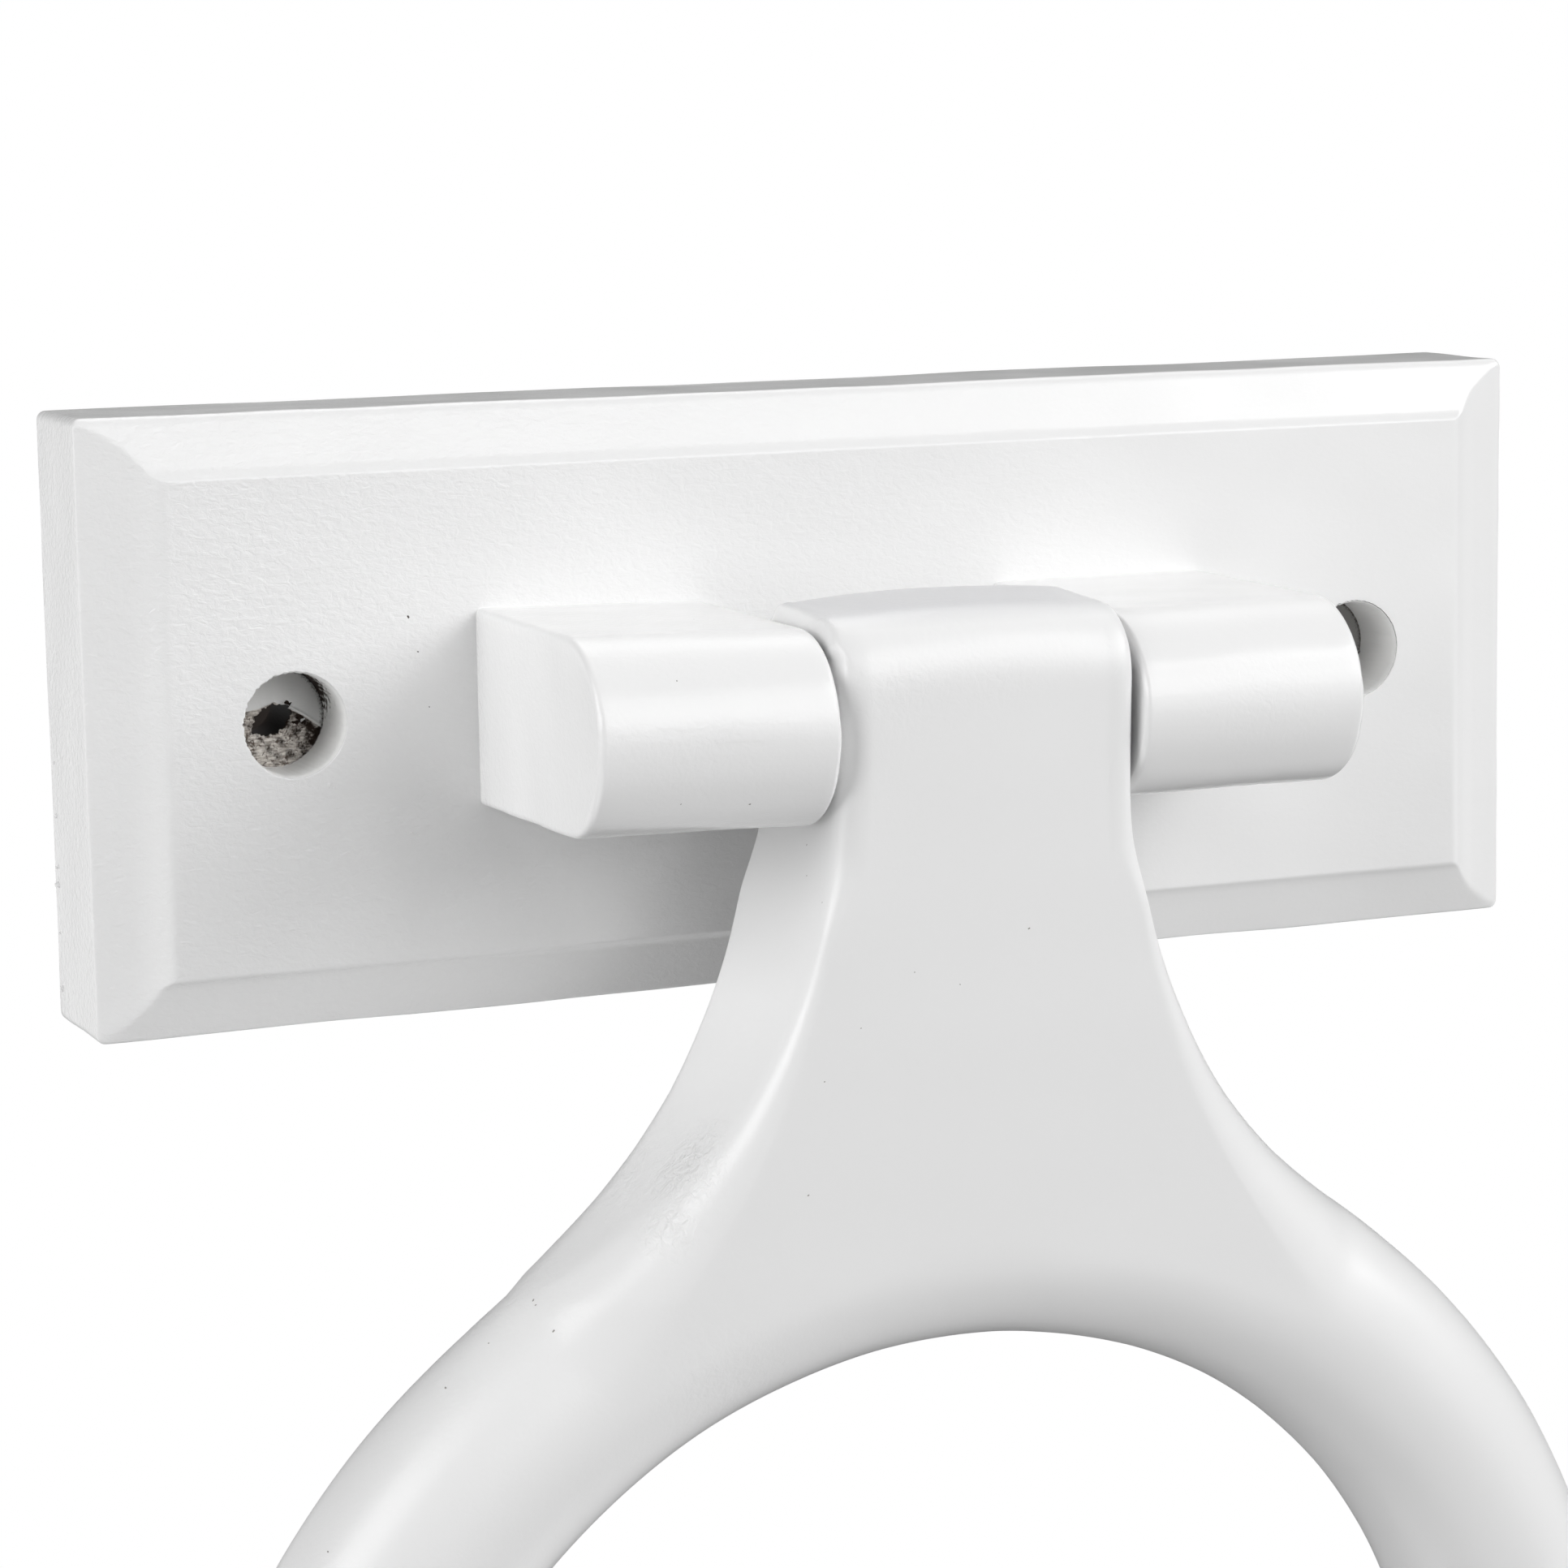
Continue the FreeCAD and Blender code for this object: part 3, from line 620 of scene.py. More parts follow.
def film_opening(angle):
    """Reach of the opening that the paint film leaves over the screw hole: a leaf that rises to the right.

    It is the reach at which a ray from the opening's middle meets a soft-cornered leaf, plus small tears.
    """
    across = np.cos(angle - OPENING_LEAN) / OPENING_HALF_LENGTH
    along = np.sin(angle - OPENING_LEAN) / OPENING_HALF_WIDTH
    leaf = (np.abs(across) ** OPENING_SQUARENESS + np.abs(along) ** OPENING_SQUARENESS) ** (
        -1 / OPENING_SQUARENESS
    )
    tears = sum(height * np.sin(count * angle + start) for height, count, start in OPENING_TEARS)
    return leaf * (1 + tears)


def recess_floor(u, v, inward, seed):
    """What lies where on a recess's floor, at places u across and v up from its middle.

    The film hangs from a fold that runs to the lower right, with scraped metal and a torn patch below it,
    and sags at the opening's edge. Returned are how high the floor stands, its soot with painted shade
    round its outer edge and at the opening, its film, and the painted shade, a grey-brown darkening, on
    the film.
    """
    fold_u, fold_v = np.array(FOLD_LINE).T
    above_fold = v - np.interp(u, fold_u, fold_v)
    film = np.clip(0.5 + (above_fold + FILM_BELOW_FOLD) / FILM_FADE, 0, 1)
    bare = 1 - film
    fold = np.exp(-((above_fold / FOLD_WIDTH) ** 2)) * fade(u, *FOLD_START)
    places = np.stack([u, np.zeros_like(u), v], axis=-1).reshape(-1, 3)
    ripple = lumps(places, RIPPLE_LENGTH, seed).reshape(u.shape)
    crust = lumps(places, CRUST_LENGTH, seed + 1).reshape(u.shape)
    torn_u = (u - TORN_PLACE[0]) / TORN_SIZE[0]
    torn_v = (v - TORN_PLACE[1]) / TORN_SIZE[1]
    torn = np.exp(-(torn_u**2 + torn_v**2)) * bare
    rag = TORN_RAG * torn * np.clip(ripple, 0, 1)
    relief = FOLD_RISE * fold + SCRAPE_HEIGHT * ripple * bare + rag - TORN_DEPTH * torn
    sag = np.exp(-(1 - inward[:, None]) * SAG_STEEPNESS)
    height = LINING_LIFT + relief - SAG_DEPTH * sag * (1 - fold)

    # Soot: most on the bare floor's right and in the torn patch. Painted shade round the film's outer edge
    # and where the film sags into the opening.
    at_right = SOOT_AT_RIGHT * fade(u - 0.2 * v, 1.6, 3.8)
    bare_soot = SOOT_ON_IRON + SOOT_IN_CRUST * crust + at_right + SOOT_IN_TORN * torn
    film_soot_and_shade = SOOT_ON_FILM + SHADE_AT_RIM * fade(np.hypot(u, v), 3.5, 4.0)
    soot_and_shade = bare_soot * bare + film_soot_and_shade * film + SHADE_AT_OPENING * np.clip(sag - 0.6, 0, 1)
    # Painted shade: a grey-brown darkening over the film, stronger above the fold.
    painted_shade = PAINTED_SHADE_VEIL * film * fade(above_fold, 0.0, 2.0) * (1 - fold)
    return height, soot_and_shade, film, painted_shade


def wall_soot_and_shade(places, angle, down, seed):
    """Soot and painted shade on a recess's wall: from the top round to the right, thickest at the floor,
    with speckles.

    It is the cosine of the turn away from its heading, less what the height above the floor takes off.
    A dark line of painted shade lies at the wall's foot, but not at the lower left.
    """
    spread = np.cos(angle - SOOT_AND_SHADE_HEADING)[None, :]
    speckle = lumps(places.reshape(-1, 3), SPECKLE_LENGTH, seed).reshape(places.shape[:2])
    soot_and_shade = np.clip(1.9 * spread - 0.75 - 1.2 * (1 - down[:, None]) + SOOT_IN_CRUST * speckle, 0, 1)
    line_at_foot = fade(down[:, None], 0.93, 1.0) * SHADE_AT_FOOT * (spread > -0.6)
    return np.maximum(soot_and_shade, line_at_foot)


def lining_back(direction, wall, opening, edge_y):
    """The lining's hidden side: loops of places round the recess, and how deep each one lies.

    From the opening's edge it runs under the film, down just inside the screw hole and up again, out
    behind the floor and up outside the wall.
    """
    floor_y = FRONT_Y + RECESS_DEPTH
    behind_floor = floor_y + LINING_BACK + LINING_BACK_STEP
    inside = direction * (SCREW_HOLE_RADIUS - LINING_THICK)
    outside = direction * (SCREW_HOLE_RADIUS + LINING_HOLE_ROOM)
    outer = (RECESS_RADIUS + LINING_BACK) / RECESS_RADIUS
    loops = [opening, inside, inside, outside, outside, wall * outer, wall * (outer + LINING_FLARE)]
    levels = [
        floor_y + LINING_BACK, LINING_END_Y, LINING_END_Y, behind_floor, behind_floor,
        FRONT_Y + LINING_START + LINING_BACK_STEP,
    ]
    depths = [edge_y + LINING_BACK_UNDER_FILM, *(np.full(len(wall), level) for level in levels)]
    return np.stack(loops), np.stack(depths)


def build_recess_lining(side, seed):
    """The lining of one recess: paint, soot and painted shade on its wall, a paint film and scraped iron on
    its floor.

    A closed thin skin: down the wall, in over the floor to the film's opening, and back underneath. Each
    point carries how sooty it is, with painted shade at the creases and deep on the wall, how much painted
    shade darkens it, and how much paint film covers it. The right recess, which is nearly hidden, has no
    soot on its wall, painted shade that deepens down its wall, and painted shade evenly over its floor.
    """
    floor_y = FRONT_Y + RECESS_DEPTH
    angle = np.linspace(0, 2 * math.pi, RECESS_SEGMENTS, endpoint=False)
    direction = np.stack([np.cos(angle), np.sin(angle)], axis=-1)
    wall_reach = RECESS_RADIUS - LINING_THICK / 2 + RECESS_CHIPS * chipped_edge(angle)
    wall = wall_reach[:, None] * direction
    opening = np.array(OPENING_MIDDLE) + film_opening(angle)[:, None] * direction

    # The wall flares out a little at its front edge.
    down = np.linspace(0, 1, 26)
    flare_out = 1 + LINING_FLARE * fade(down, LINING_FLARE_SHARE, 0.0)
    wall_u = wall[None] * flare_out[:, None, None]
    wall_levels = FRONT_Y + LINING_START + (RECESS_DEPTH - LINING_START - LINING_LIFT) * down
    wall_y = np.repeat(wall_levels[:, None], len(angle), axis=1)
    inward = np.linspace(0, 1, 64)[1:]
    floor_u = wall[None] + (opening - wall)[None] * inward[:, None, None]
    height, floor_soot_and_shade, film, painted_shade = recess_floor(floor_u[..., 0], floor_u[..., 1], inward, seed)
    floor_y_points = floor_y - height

    back_u, back_y = lining_back(direction, wall, opening, floor_y_points[-1])
    all_u = np.concatenate([wall_u, floor_u, back_u])
    all_y = np.concatenate([wall_y, floor_y_points, back_y])
    points = np.stack([side * SCREW_X + all_u[..., 0], all_y, all_u[..., 1]], axis=-1)
    faces = grid_faces(len(all_y), len(angle), wrap_rows=True, wrap_columns=True)
    name = "recess_lining_left" if side < 0 else "recess_lining_right"
    lining = make_piece(name, [(points, faces)], merge=False)

    if side < 0:
        wall_places = np.stack([wall_u[..., 0], wall_y, wall_u[..., 1]], axis=-1)
        soot_and_shade_on_wall = wall_soot_and_shade(wall_places, angle, down, seed + 2)
        painted_shade_on_wall = np.zeros_like(wall_y)
    else:
        soot_and_shade_on_wall = np.zeros_like(wall_y)
        # Painted shade: the right recess's wall darkens towards its floor, and its floor is evenly darkened.
        depth_share = np.clip(1.15 * down[:, None] - 0.1 + 0.2 * np.sin(angle)[None, :], 0, 1)
        painted_shade_on_wall = PAINTED_SHADE_VEIL * depth_share**2
        painted_shade = np.full_like(film, HIDDEN_RECESS_SHADE)
    hidden = np.ones_like(back_y)
    for label, on_wall, on_floor in (
        ("soot_and_shade", soot_and_shade_on_wall, floor_soot_and_shade),
        ("film", np.ones_like(wall_y), film),
        ("shade", painted_shade_on_wall, painted_shade),
    ):
        values = np.clip(np.concatenate([on_wall, on_floor, hidden]), 0, 1)
        layer = lining.data.attributes.new(label, "FLOAT", "POINT")
        layer.data.foreach_set("value", values.ravel().astype(np.float32))
    return lining


def arc(centre, radius, start, end, count, last=False):
    """Points of an arc and the directions from its centre."""
    angle = np.linspace(start, end, count, endpoint=last)
    direction = np.stack([np.cos(angle), np.sin(angle)], axis=-1)
    return np.array(centre) + radius * direction, direction


def climb(points):
    """How far along a line of points each one lies, from 0 to 1, and the line's length."""
    step = np.linalg.norm(np.diff(points, axis=0), axis=1)
    return np.concatenate([[0], np.cumsum(step)]) / step.sum(), step.sum()


def ring_outline():
    """Half of the ring casting's front outline, from its lowest point up to the middle of the knuckle's top.

    It runs along the ring's outer circle, a wide arc and a tight arc of the flare, the knuckle's straight
    side, a small corner and half of the crowned top. Returned are the points, the matching points where the
    edge round ends, the edge round's radius, the angle of the matching point on the ring's inner circle, and
    which points lie below the knuckle.
    """
    ring_centre = np.array([0.0, -RING_DROP])
    outer = RING_MEAN_RADIUS + BAR_RADIUS
    join = np.array([
        KNUCKLE_HALF + FLARE_RADIUS * (1 - math.cos(FLARE_TURN)),
        FLARE_START - FLARE_RADIUS * math.sin(FLARE_TURN),
    ])
    towards = np.array([math.cos(FLARE_TURN), math.sin(FLARE_TURN)])
    from_centre = join - ring_centre
    wide_radius = (from_centre @ from_centre - outer**2) / (2 * (outer - from_centre @ towards))
    wide_centre = join + wide_radius * towards
    touch = math.atan2(wide_centre[1] + RING_DROP, wide_centre[0])
    crown_z = KNUCKLE_TOP - KNUCKLE_CROWN_RADIUS
    corner_x = KNUCKLE_HALF - KNUCKLE_CORNER
    corner_z = crown_z + math.sqrt((KNUCKLE_CROWN_RADIUS - KNUCKLE_CORNER) ** 2 - corner_x**2)
    corner_end = math.atan2(corner_z - crown_z, corner_x)

    ring_part, ring_out = arc(ring_centre, outer, -math.pi / 2, touch, 150)
    wide, wide_in = arc(wide_centre, wide_radius, math.pi + touch, math.pi + FLARE_TURN, 40)
    tight_centre = (KNUCKLE_HALF + FLARE_RADIUS, FLARE_START)
    tight, tight_in = arc(tight_centre, FLARE_RADIUS, math.pi + FLARE_TURN, math.pi, 64)
    side_z = np.linspace(FLARE_START, corner_z, 36, endpoint=False)
    side = np.stack([np.full_like(side_z, KNUCKLE_HALF), side_z], axis=-1)
    corner, _ = arc((corner_x, corner_z), KNUCKLE_CORNER, 0, corner_end, 12)
    top, _ = arc((0, crown_z), KNUCKLE_CROWN_RADIUS, corner_end, math.pi / 2, 24, last=True)

    # The edge round: the whole bar on the ring, shrinking up the flare to a small round, and larger again
    # beside the knuckle.
    flare = np.concatenate([wide, tight])
    still_to_climb = np.clip(1 - climb(flare)[0], 0, 1)
    flare_round = NECK_EDGE_ROUND + (BAR_RADIUS - NECK_EDGE_ROUND) * still_to_climb**NECK_ROUND_GROWTH
    nearing = fade(flare[:, 1], *SIDE_ROUND_FADE_Z)
    flare_round += (KNUCKLE_SIDE_ROUND - NECK_EDGE_ROUND) * nearing**2 * (3 - 2 * nearing)
    inwards = np.concatenate([-ring_out, wide_in, tight_in])
    lower = np.concatenate([ring_part, wide, tight])
    lower_round = np.concatenate([np.full(len(ring_part), BAR_RADIUS), flare_round])
    band = lower_round * (1 - math.cos(BAND_END))
    lower_core = lower + inwards * band[:, None]

    # Inside the knuckle the lines run to a smaller outline that lies below the top's large round.
    core_z = KNUCKLE_TOP - KNUCKLE_ROUND - KNUCKLE_CORE_DROP
    share = (side_z - FLARE_START) / (corner_z - FLARE_START)
    side_core_x = KNUCKLE_HALF - (band[-1] + (KNUCKLE_CORE_INSET - band[-1]) * share)
    side_core = np.stack([side_core_x, FLARE_START + (core_z - FLARE_START) * share], axis=-1)
    corner_inset = np.linspace(KNUCKLE_CORE_INSET, KNUCKLE_CORE_END_INSET, len(corner), endpoint=False)
    corner_core = np.stack([KNUCKLE_HALF - corner_inset, np.full(len(corner), core_z)], axis=-1)
    top_core_x = top[:, 0] * (KNUCKLE_HALF - KNUCKLE_CORE_END_INSET) / top[0, 0]
    top_core = np.stack([top_core_x, np.full(len(top), core_z)], axis=-1)

    outline = np.concatenate([lower, side, corner, top])
    core = np.concatenate([lower_core, side_core, corner_core, top_core])
    edge_round = np.concatenate([
        lower_round,
        np.full(len(side), KNUCKLE_SIDE_ROUND),
        np.linspace(KNUCKLE_SIDE_ROUND, KNUCKLE_ROUND, len(corner), endpoint=False),
        np.full(len(top), KNUCKLE_ROUND),
    ])

    # Above the ring the inner circle's angle grows smoothly to the top as the outline climbs.
    along, neck_length = climb(outline[len(ring_part):])
    first_slope = neck_length / outer / (math.pi / 2 - touch)
    neck_angle = touch + (math.pi / 2 - touch) * (first_slope * along + (1 - first_slope) * along**2)
    ring_angle = np.linspace(-math.pi / 2, touch, len(ring_part), endpoint=False)
    inner_angle = np.concatenate([ring_angle, neck_angle])
    below_knuckle = np.arange(len(outline)) < len(lower)
    return outline, core, edge_round, inner_angle, below_knuckle


def crown_thickness(x, z):
    """Half thickness that the knuckle's large top round leaves: full below it, less towards the top."""
    within = np.clip(x, -KNUCKLE_HALF, KNUCKLE_HALF)
    top = KNUCKLE_TOP - KNUCKLE_CROWN_RADIUS + np.sqrt(KNUCKLE_CROWN_RADIUS**2 - within**2)
    into = np.clip((z - (top - KNUCKLE_ROUND)) / KNUCKLE_ROUND, 0, 1)
    return BAR_RADIUS - KNUCKLE_ROUND * (1 - (1 - into**KNUCKLE_SQUARENESS) ** (1 / KNUCKLE_SQUARENESS))


def rounded(thickness, radius, distance):
    """Half thickness at a distance from an edge that has a round of this radius."""
    into = np.clip(radius - distance, 0, radius)
    return thickness - radius + np.sqrt(np.clip(radius**2 - into**2, 0, None))


def build_ring_casting():
    """The knuckle, neck and ring as one closed surface of two parameters.

    One parameter runs once round the front outline, the other once round the section there: up the outer
    wall, over the edge round, across the flat face and over the inner half-round, then back behind.
    """
    outline, core, edge_round, inner_angle, below_knuckle = ring_outline()
    count = len(outline)
    ring_centre = np.array([0.0, -RING_DROP])
    inner_direction = np.stack([np.cos(inner_angle), np.sin(inner_angle)], axis=-1)
    inner_radius = RING_MEAN_RADIUS - BAR_RADIUS
    inner = ring_centre + inner_radius * inner_direction
    full_turn = 1 - math.cos(BAND_END)
    inner_core = inner + BAR_RADIUS * full_turn * inner_direction

    def half_thickness(place, from_edge, radius):
        """Half thickness at a place: the smaller of what the outer edge and the inner circle leave."""
        crown = crown_thickness(place[..., 0], place[..., 1])
        below = np.clip(FLARE_START - place[..., 1], 0, FLARE_RADIUS)
        side_x = KNUCKLE_HALF + FLARE_RADIUS - np.sqrt(FLARE_RADIUS**2 - below**2)
        in_knuckle = rounded(crown, KNUCKLE_SIDE_ROUND, np.clip(side_x - place[..., 0], 0, None))
        on_lower = rounded(BAR_RADIUS, radius, from_edge)
        outer = np.where(below_knuckle[:, None], on_lower, in_knuckle)
        from_inner = np.linalg.norm(place - ring_centre, axis=-1) - inner_radius
        return np.minimum(outer, rounded(BAR_RADIUS, BAR_RADIUS, np.clip(from_inner, 0, None)))

    # Rows from the middle of the outer wall to the end of the edge round.
    radius = edge_round[:, None]
    at_edge = half_thickness(outline[:, None, :], np.zeros((count, 1)), radius)
    length = WALL_SHARE * at_edge + radius * BAND_END
    run = np.linspace(0, 1, BAND_ROWS + 1)[None, :] * length
    on_wall = run < WALL_SHARE * at_edge
    angle = np.clip((run - WALL_SHARE * at_edge) / radius, 0, BAND_END)
    across = (1 - np.cos(angle)) / full_turn
    band_place = outline[:, None, :] + (core - outline)[:, None, :] * across[..., None]
    band_from_edge = np.linalg.norm(band_place - outline[:, None, :], axis=-1)
    band_height = half_thickness(band_place, band_from_edge, radius)
    band_height = np.where(on_wall, run / WALL_SHARE, band_height)

    # Rows across the flat face, and rows over the inner half-round.
    share = np.linspace(0, 1, FACE_ROWS + 1)[1:]
    face_place = core[:, None, :] + (inner_core - core)[:, None, :] * share[None, :, None]
    core_from_edge = np.linalg.norm(core - outline, axis=-1)[:, None]
    face_from_edge = core_from_edge + np.linalg.norm(face_place - core[:, None, :], axis=-1)
    face_height = half_thickness(face_place, face_from_edge, radius)
    angle = np.linspace(BAND_END, 0, INNER_ROWS + 1)[1:]
    across = (1 - np.cos(angle)) / full_turn
    inner_place = inner[:, None, :] + (inner_core - inner)[:, None, :] * across[None, :, None]
    inner_height = np.tile(BAR_RADIUS * np.sin(angle), (count, 1))

    # The section's other half lies behind, and the outline's other half on the left.
    place = np.concatenate([band_place, face_place, inner_place], axis=1)
    height = np.concatenate([band_height, face_height, inner_height], axis=1)
    place = np.concatenate([place, place[:, -2:0:-1]], axis=1)
    height = np.concatenate([-height, height[:, -2:0:-1]], axis=1)
    place = np.concatenate([place, place[-2:0:-1] * [-1, 1]])
    height = np.concatenate([height, height[-2:0:-1]])
    drawn_y = RING_SETBACK + height
    drawn_z = place[..., 1]
    y = PIN_Y + drawn_y * math.cos(HANG_ANGLE) - drawn_z * math.sin(HANG_ANGLE)
    z = drawn_y * math.sin(HANG_ANGLE) + drawn_z * math.cos(HANG_ANGLE)
    points = np.stack([place[..., 0], y, z], axis=-1)
    faces = grid_faces(points.shape[0], points.shape[1], wrap_rows=True, wrap_columns=True)
    casting = make_piece("ring_casting", [(points, faces)])
    bore_end = KNUCKLE_HALF + CUT_OVERRUN
    bore = bar_along_x(-bore_end, bore_end, PIN_RADIUS + PIN_RUNNING_ROOM)
    apply_booleans(casting, [("DIFFERENCE", make_piece("knuckle_bore", [bore]))])
    return casting


def stray_at(z, stray):
    """The outward step at each height, between the given ones in a straight line."""
    heights, steps = np.array(stray[::-1], float).T
    return np.interp(z, heights, steps)


def ring_unevenness(points, normals):
    """Longer waves on the ring casting, and what sets its two sides apart.

    Those are an uneven bead of paint along the knuckle's upper left edge, a right side that stands a little
    further out and has a fuller front edge, and the neck's sides, which stray from the drawn outline.
    """
    x = points[:, 0]
    z = points[:, 2]
    facing_right = np.clip(normals[:, 0], 0, 1)
    facing_front = np.clip(-normals[:, 1], 0, 1)
    bead = np.exp(-(((x + KNUCKLE_HALF - BEAD_INSET) / BEAD_WIDTH) ** 2)) * fade(z, *BEAD_FADE_Z)
    roughness, length, seed = BEAD_UNEVENNESS
    bead = bead * (BEAD_HEIGHT + roughness * lumps(points, length, seed))
    on_right = fade(x, *RIGHT_HALF_FADE_X)
    outward = facing_right * on_right * fade(z, *KNUCKLE_RIGHT_FADE_Z)
    diagonal = 2 * facing_right * facing_front
    corner = diagonal**2 * on_right * fade(z, *KNUCKLE_FULLER_FADE_Z)
    sideways = np.hypot(normals[:, 0], normals[:, 2]) * fade(np.abs(x), *NECK_SIDES_FADE_X)
    stray = stray_at(z, NECK_LEFT_STRAY) * (x < 0) + stray_at(z, NECK_RIGHT_STRAY) * (x > 0)
    return (
        casting_waves(points, RING_WAVES) + bead + KNUCKLE_RIGHT_SHIFT * outward
        + KNUCKLE_RIGHT_FULLER * corner + stray * sideways
    )


def linear(colour):
    """An sRGB hex colour, such as #F2F2F0, as linear red, green, blue and full opacity."""
    parts = [int(colour[i:i + 2], 16) / 255 for i in (1, 3, 5)]
    curved = [c / 12.92 if c <= 0.04045 else ((c + 0.055) / 1.055) ** 2.4 for c in parts]
    return (*curved, 1.0)


def per_metre(width):
    """The scale of a pattern whose marks are this many millimetres wide."""
    return 1 / (width * MM)


def new_material(name):
    """A material with an empty node tree, and that tree."""
    material = bpy.data.materials.new(name)
    material.use_nodes = True
    material.node_tree.nodes.clear()
    return material, material.node_tree


def add(tree, kind, settings=None, **links):
    """Adds a node, sets its properties and sockets, and links each named socket to an output.

    A list fills the sockets that share the name, in order, and may hold plain values beside outputs.
    """
    node = tree.nodes.new(kind)
    for name, value in (settings or {}).items():
        if name in node.inputs:
            node.inputs[name].default_value = value
        else:
            setattr(node, name, value)
    for name, sources in links.items():
        sockets = [socket for socket in node.inputs if socket.name == name.replace("_", " ")]
        for socket, source in zip(sockets, sources if isinstance(sources, list) else [sources]):
            if isinstance(source, bpy.types.NodeSocket):
                tree.links.new(source, socket)
            else:
                socket.default_value = source
    return node


def casting_grain(tree, place, grain_look, under):
    """The sand casting's grain, about 0.6 mm wide, which shows through the paint, on top of another bump.

    It is weaker on what stands out in front of the plate, and towards the right.
    """
    grain_height, grain_stretch = grain_look
    stretched = add(tree, "ShaderNodeMapping", {"Scale": grain_stretch}, Vector=place)
    grain = add(
        tree, "ShaderNodeTexNoise",
        {"Scale": per_metre(GRAIN_WIDTH), "Detail": 3.0, "Roughness": 0.6, "Distortion": 0.5},
        Vector=stretched.outputs["Vector"],
    )
    split = add(tree, "ShaderNodeSeparateXYZ", Vector=place)
    leftward = add(
        tree, "ShaderNodeMapRange",
        {"From Min": GRAIN_FADE_X[0] * MM, "From Max": GRAIN_FADE_X[1] * MM, "To Min": 0.12, "To Max": 0.8},
        Value=split.outputs["X"],
    )
    backward = add(
        tree, "ShaderNodeMapRange",
        {"From Min": GRAIN_FADE_Y[0] * MM, "From Max": GRAIN_FADE_Y[1] * MM, "To Min": 0.35, "To Max": 1.0},
        Value=split.outputs["Y"],
    )
    strength = add(
        tree, "ShaderNodeMath", {"operation": "MULTIPLY"},
        Value=[leftward.outputs["Result"], backward.outputs["Result"]],
    )
    return add(
        tree, "ShaderNodeBump", {"Distance": grain_height * MM},
        Strength=strength.outputs["Value"], Height=grain.outputs["Fac"], Normal=under.outputs["Normal"],
    )


def rough_lumps(tree, place, rough_spots, under):
    """Lumps about 0.8 mm wide at a few rough spots, on top of another bump.

    Each spot fades out with the distance from its middle, and where two overlap the rougher one counts.
    """
    roughest = 0.0
    for centre, reach, height in rough_spots:
        away = add(tree, "ShaderNodeVectorMath", {"operation": "DISTANCE"}, Vector=[place, centre])
        near = add(
            tree, "ShaderNodeMapRange",
            {"From Min": reach * MM, "From Max": 0.0, "To Max": height / ROUGH_LIMIT},
            Value=away.outputs["Value"],
        )
        larger = add(
            tree, "ShaderNodeMath", {"operation": "MAXIMUM"}, Value=[near.outputs["Result"], roughest]
        )
        roughest = larger.outputs["Value"]
    lump = add(
        tree, "ShaderNodeTexNoise",
        {"Scale": per_metre(ROUGH_LUMP_WIDTH), "Detail": 3.0, "Roughness": 0.55, "Distortion": 0.8},
        Vector=place,
    )
    return add(
        tree, "ShaderNodeBump", {"Distance": ROUGH_LIMIT * MM},
        Strength=roughest, Height=lump.outputs["Fac"], Normal=under.outputs["Normal"],
    )


def powder_coat(name, grain_look, rough_spots, shine_range):
    """White semi-gloss powder coat over sand-cast iron.

    Its bumps add up: soft orange peel about 1.3 mm wide, the casting's grain, and lumps at the rough
    spots. The roughness varies a little from place to place, between the two ends of the shine range.
    """
    material, tree = new_material(name)
    place = add(tree, "ShaderNodeTexCoord").outputs["Object"]
    peel = add(
        tree, "ShaderNodeTexNoise", {"Scale": per_metre(PEEL_WIDTH), "Detail": 2.0, "Roughness": 0.45},
        Vector=place,
    )
    peel_bump = add(
        tree, "ShaderNodeBump", {"Strength": 0.6, "Distance": 0.01 * MM}, Height=peel.outputs["Fac"]
    )
    grain_bump = casting_grain(tree, place, grain_look, peel_bump)
    lump_bump = rough_lumps(tree, place, rough_spots, grain_bump)
    patches = add(
        tree, "ShaderNodeTexNoise", {"Scale": per_metre(SHINE_PATCH_WIDTH), "Detail": 2.0}, Vector=place
    )
    shine = add(
        tree, "ShaderNodeMapRange",
        {"From Min": 0.3, "From Max": 0.7, "To Min": shine_range[0], "To Max": shine_range[1]},
        Value=patches.outputs["Fac"],
    )
    paint = add(
        tree, "ShaderNodeBsdfPrincipled", {"Base Color": linear(PAINT_COLOUR), "IOR": 1.5},
        Roughness=shine.outputs["Result"], Normal=lump_bump.outputs["Normal"],
    )
    add(tree, "ShaderNodeOutputMaterial", Surface=paint.outputs["BSDF"])
    return material


def shade_knuckle_top(material):
    """Painted shade: greys the ring's paint a little where it faces up on the knuckle, above the pin."""
    tree = material.node_tree
    coordinates = add(tree, "ShaderNodeTexCoord")
    upward = add(tree, "ShaderNodeSeparateXYZ", Vector=coordinates.outputs["Normal"])
    height = add(tree, "ShaderNodeSeparateXYZ", Vector=coordinates.outputs["Object"])
    on_top = add(
        tree, "ShaderNodeMapRange", {"From Min": 0.55, "From Max": 1.0}, Value=upward.outputs["Z"]
    )
    above_pin = add(
        tree, "ShaderNodeMapRange", {"From Min": TOP_SHADE_FADE_Z[0] * MM, "From Max": TOP_SHADE_FADE_Z[1] * MM},
        Value=height.outputs["Z"],
    )
    shaded_top = add(
        tree, "ShaderNodeMath", {"operation": "MULTIPLY"},
        Value=[on_top.outputs["Result"], above_pin.outputs["Result"]],
    )
    # Painted shade: a cool grey where the knuckle's top faces up.
    colour = add(
        tree, "ShaderNodeMixRGB", {"Color1": linear(PAINT_COLOUR), "Color2": linear("#D2D2D4")},
        Fac=shaded_top.outputs["Value"],
    )
    paint = next(node for node in tree.nodes if node.type == "BSDF_PRINCIPLED")
    tree.links.new(colour.outputs["Color"], paint.inputs["Base Color"])


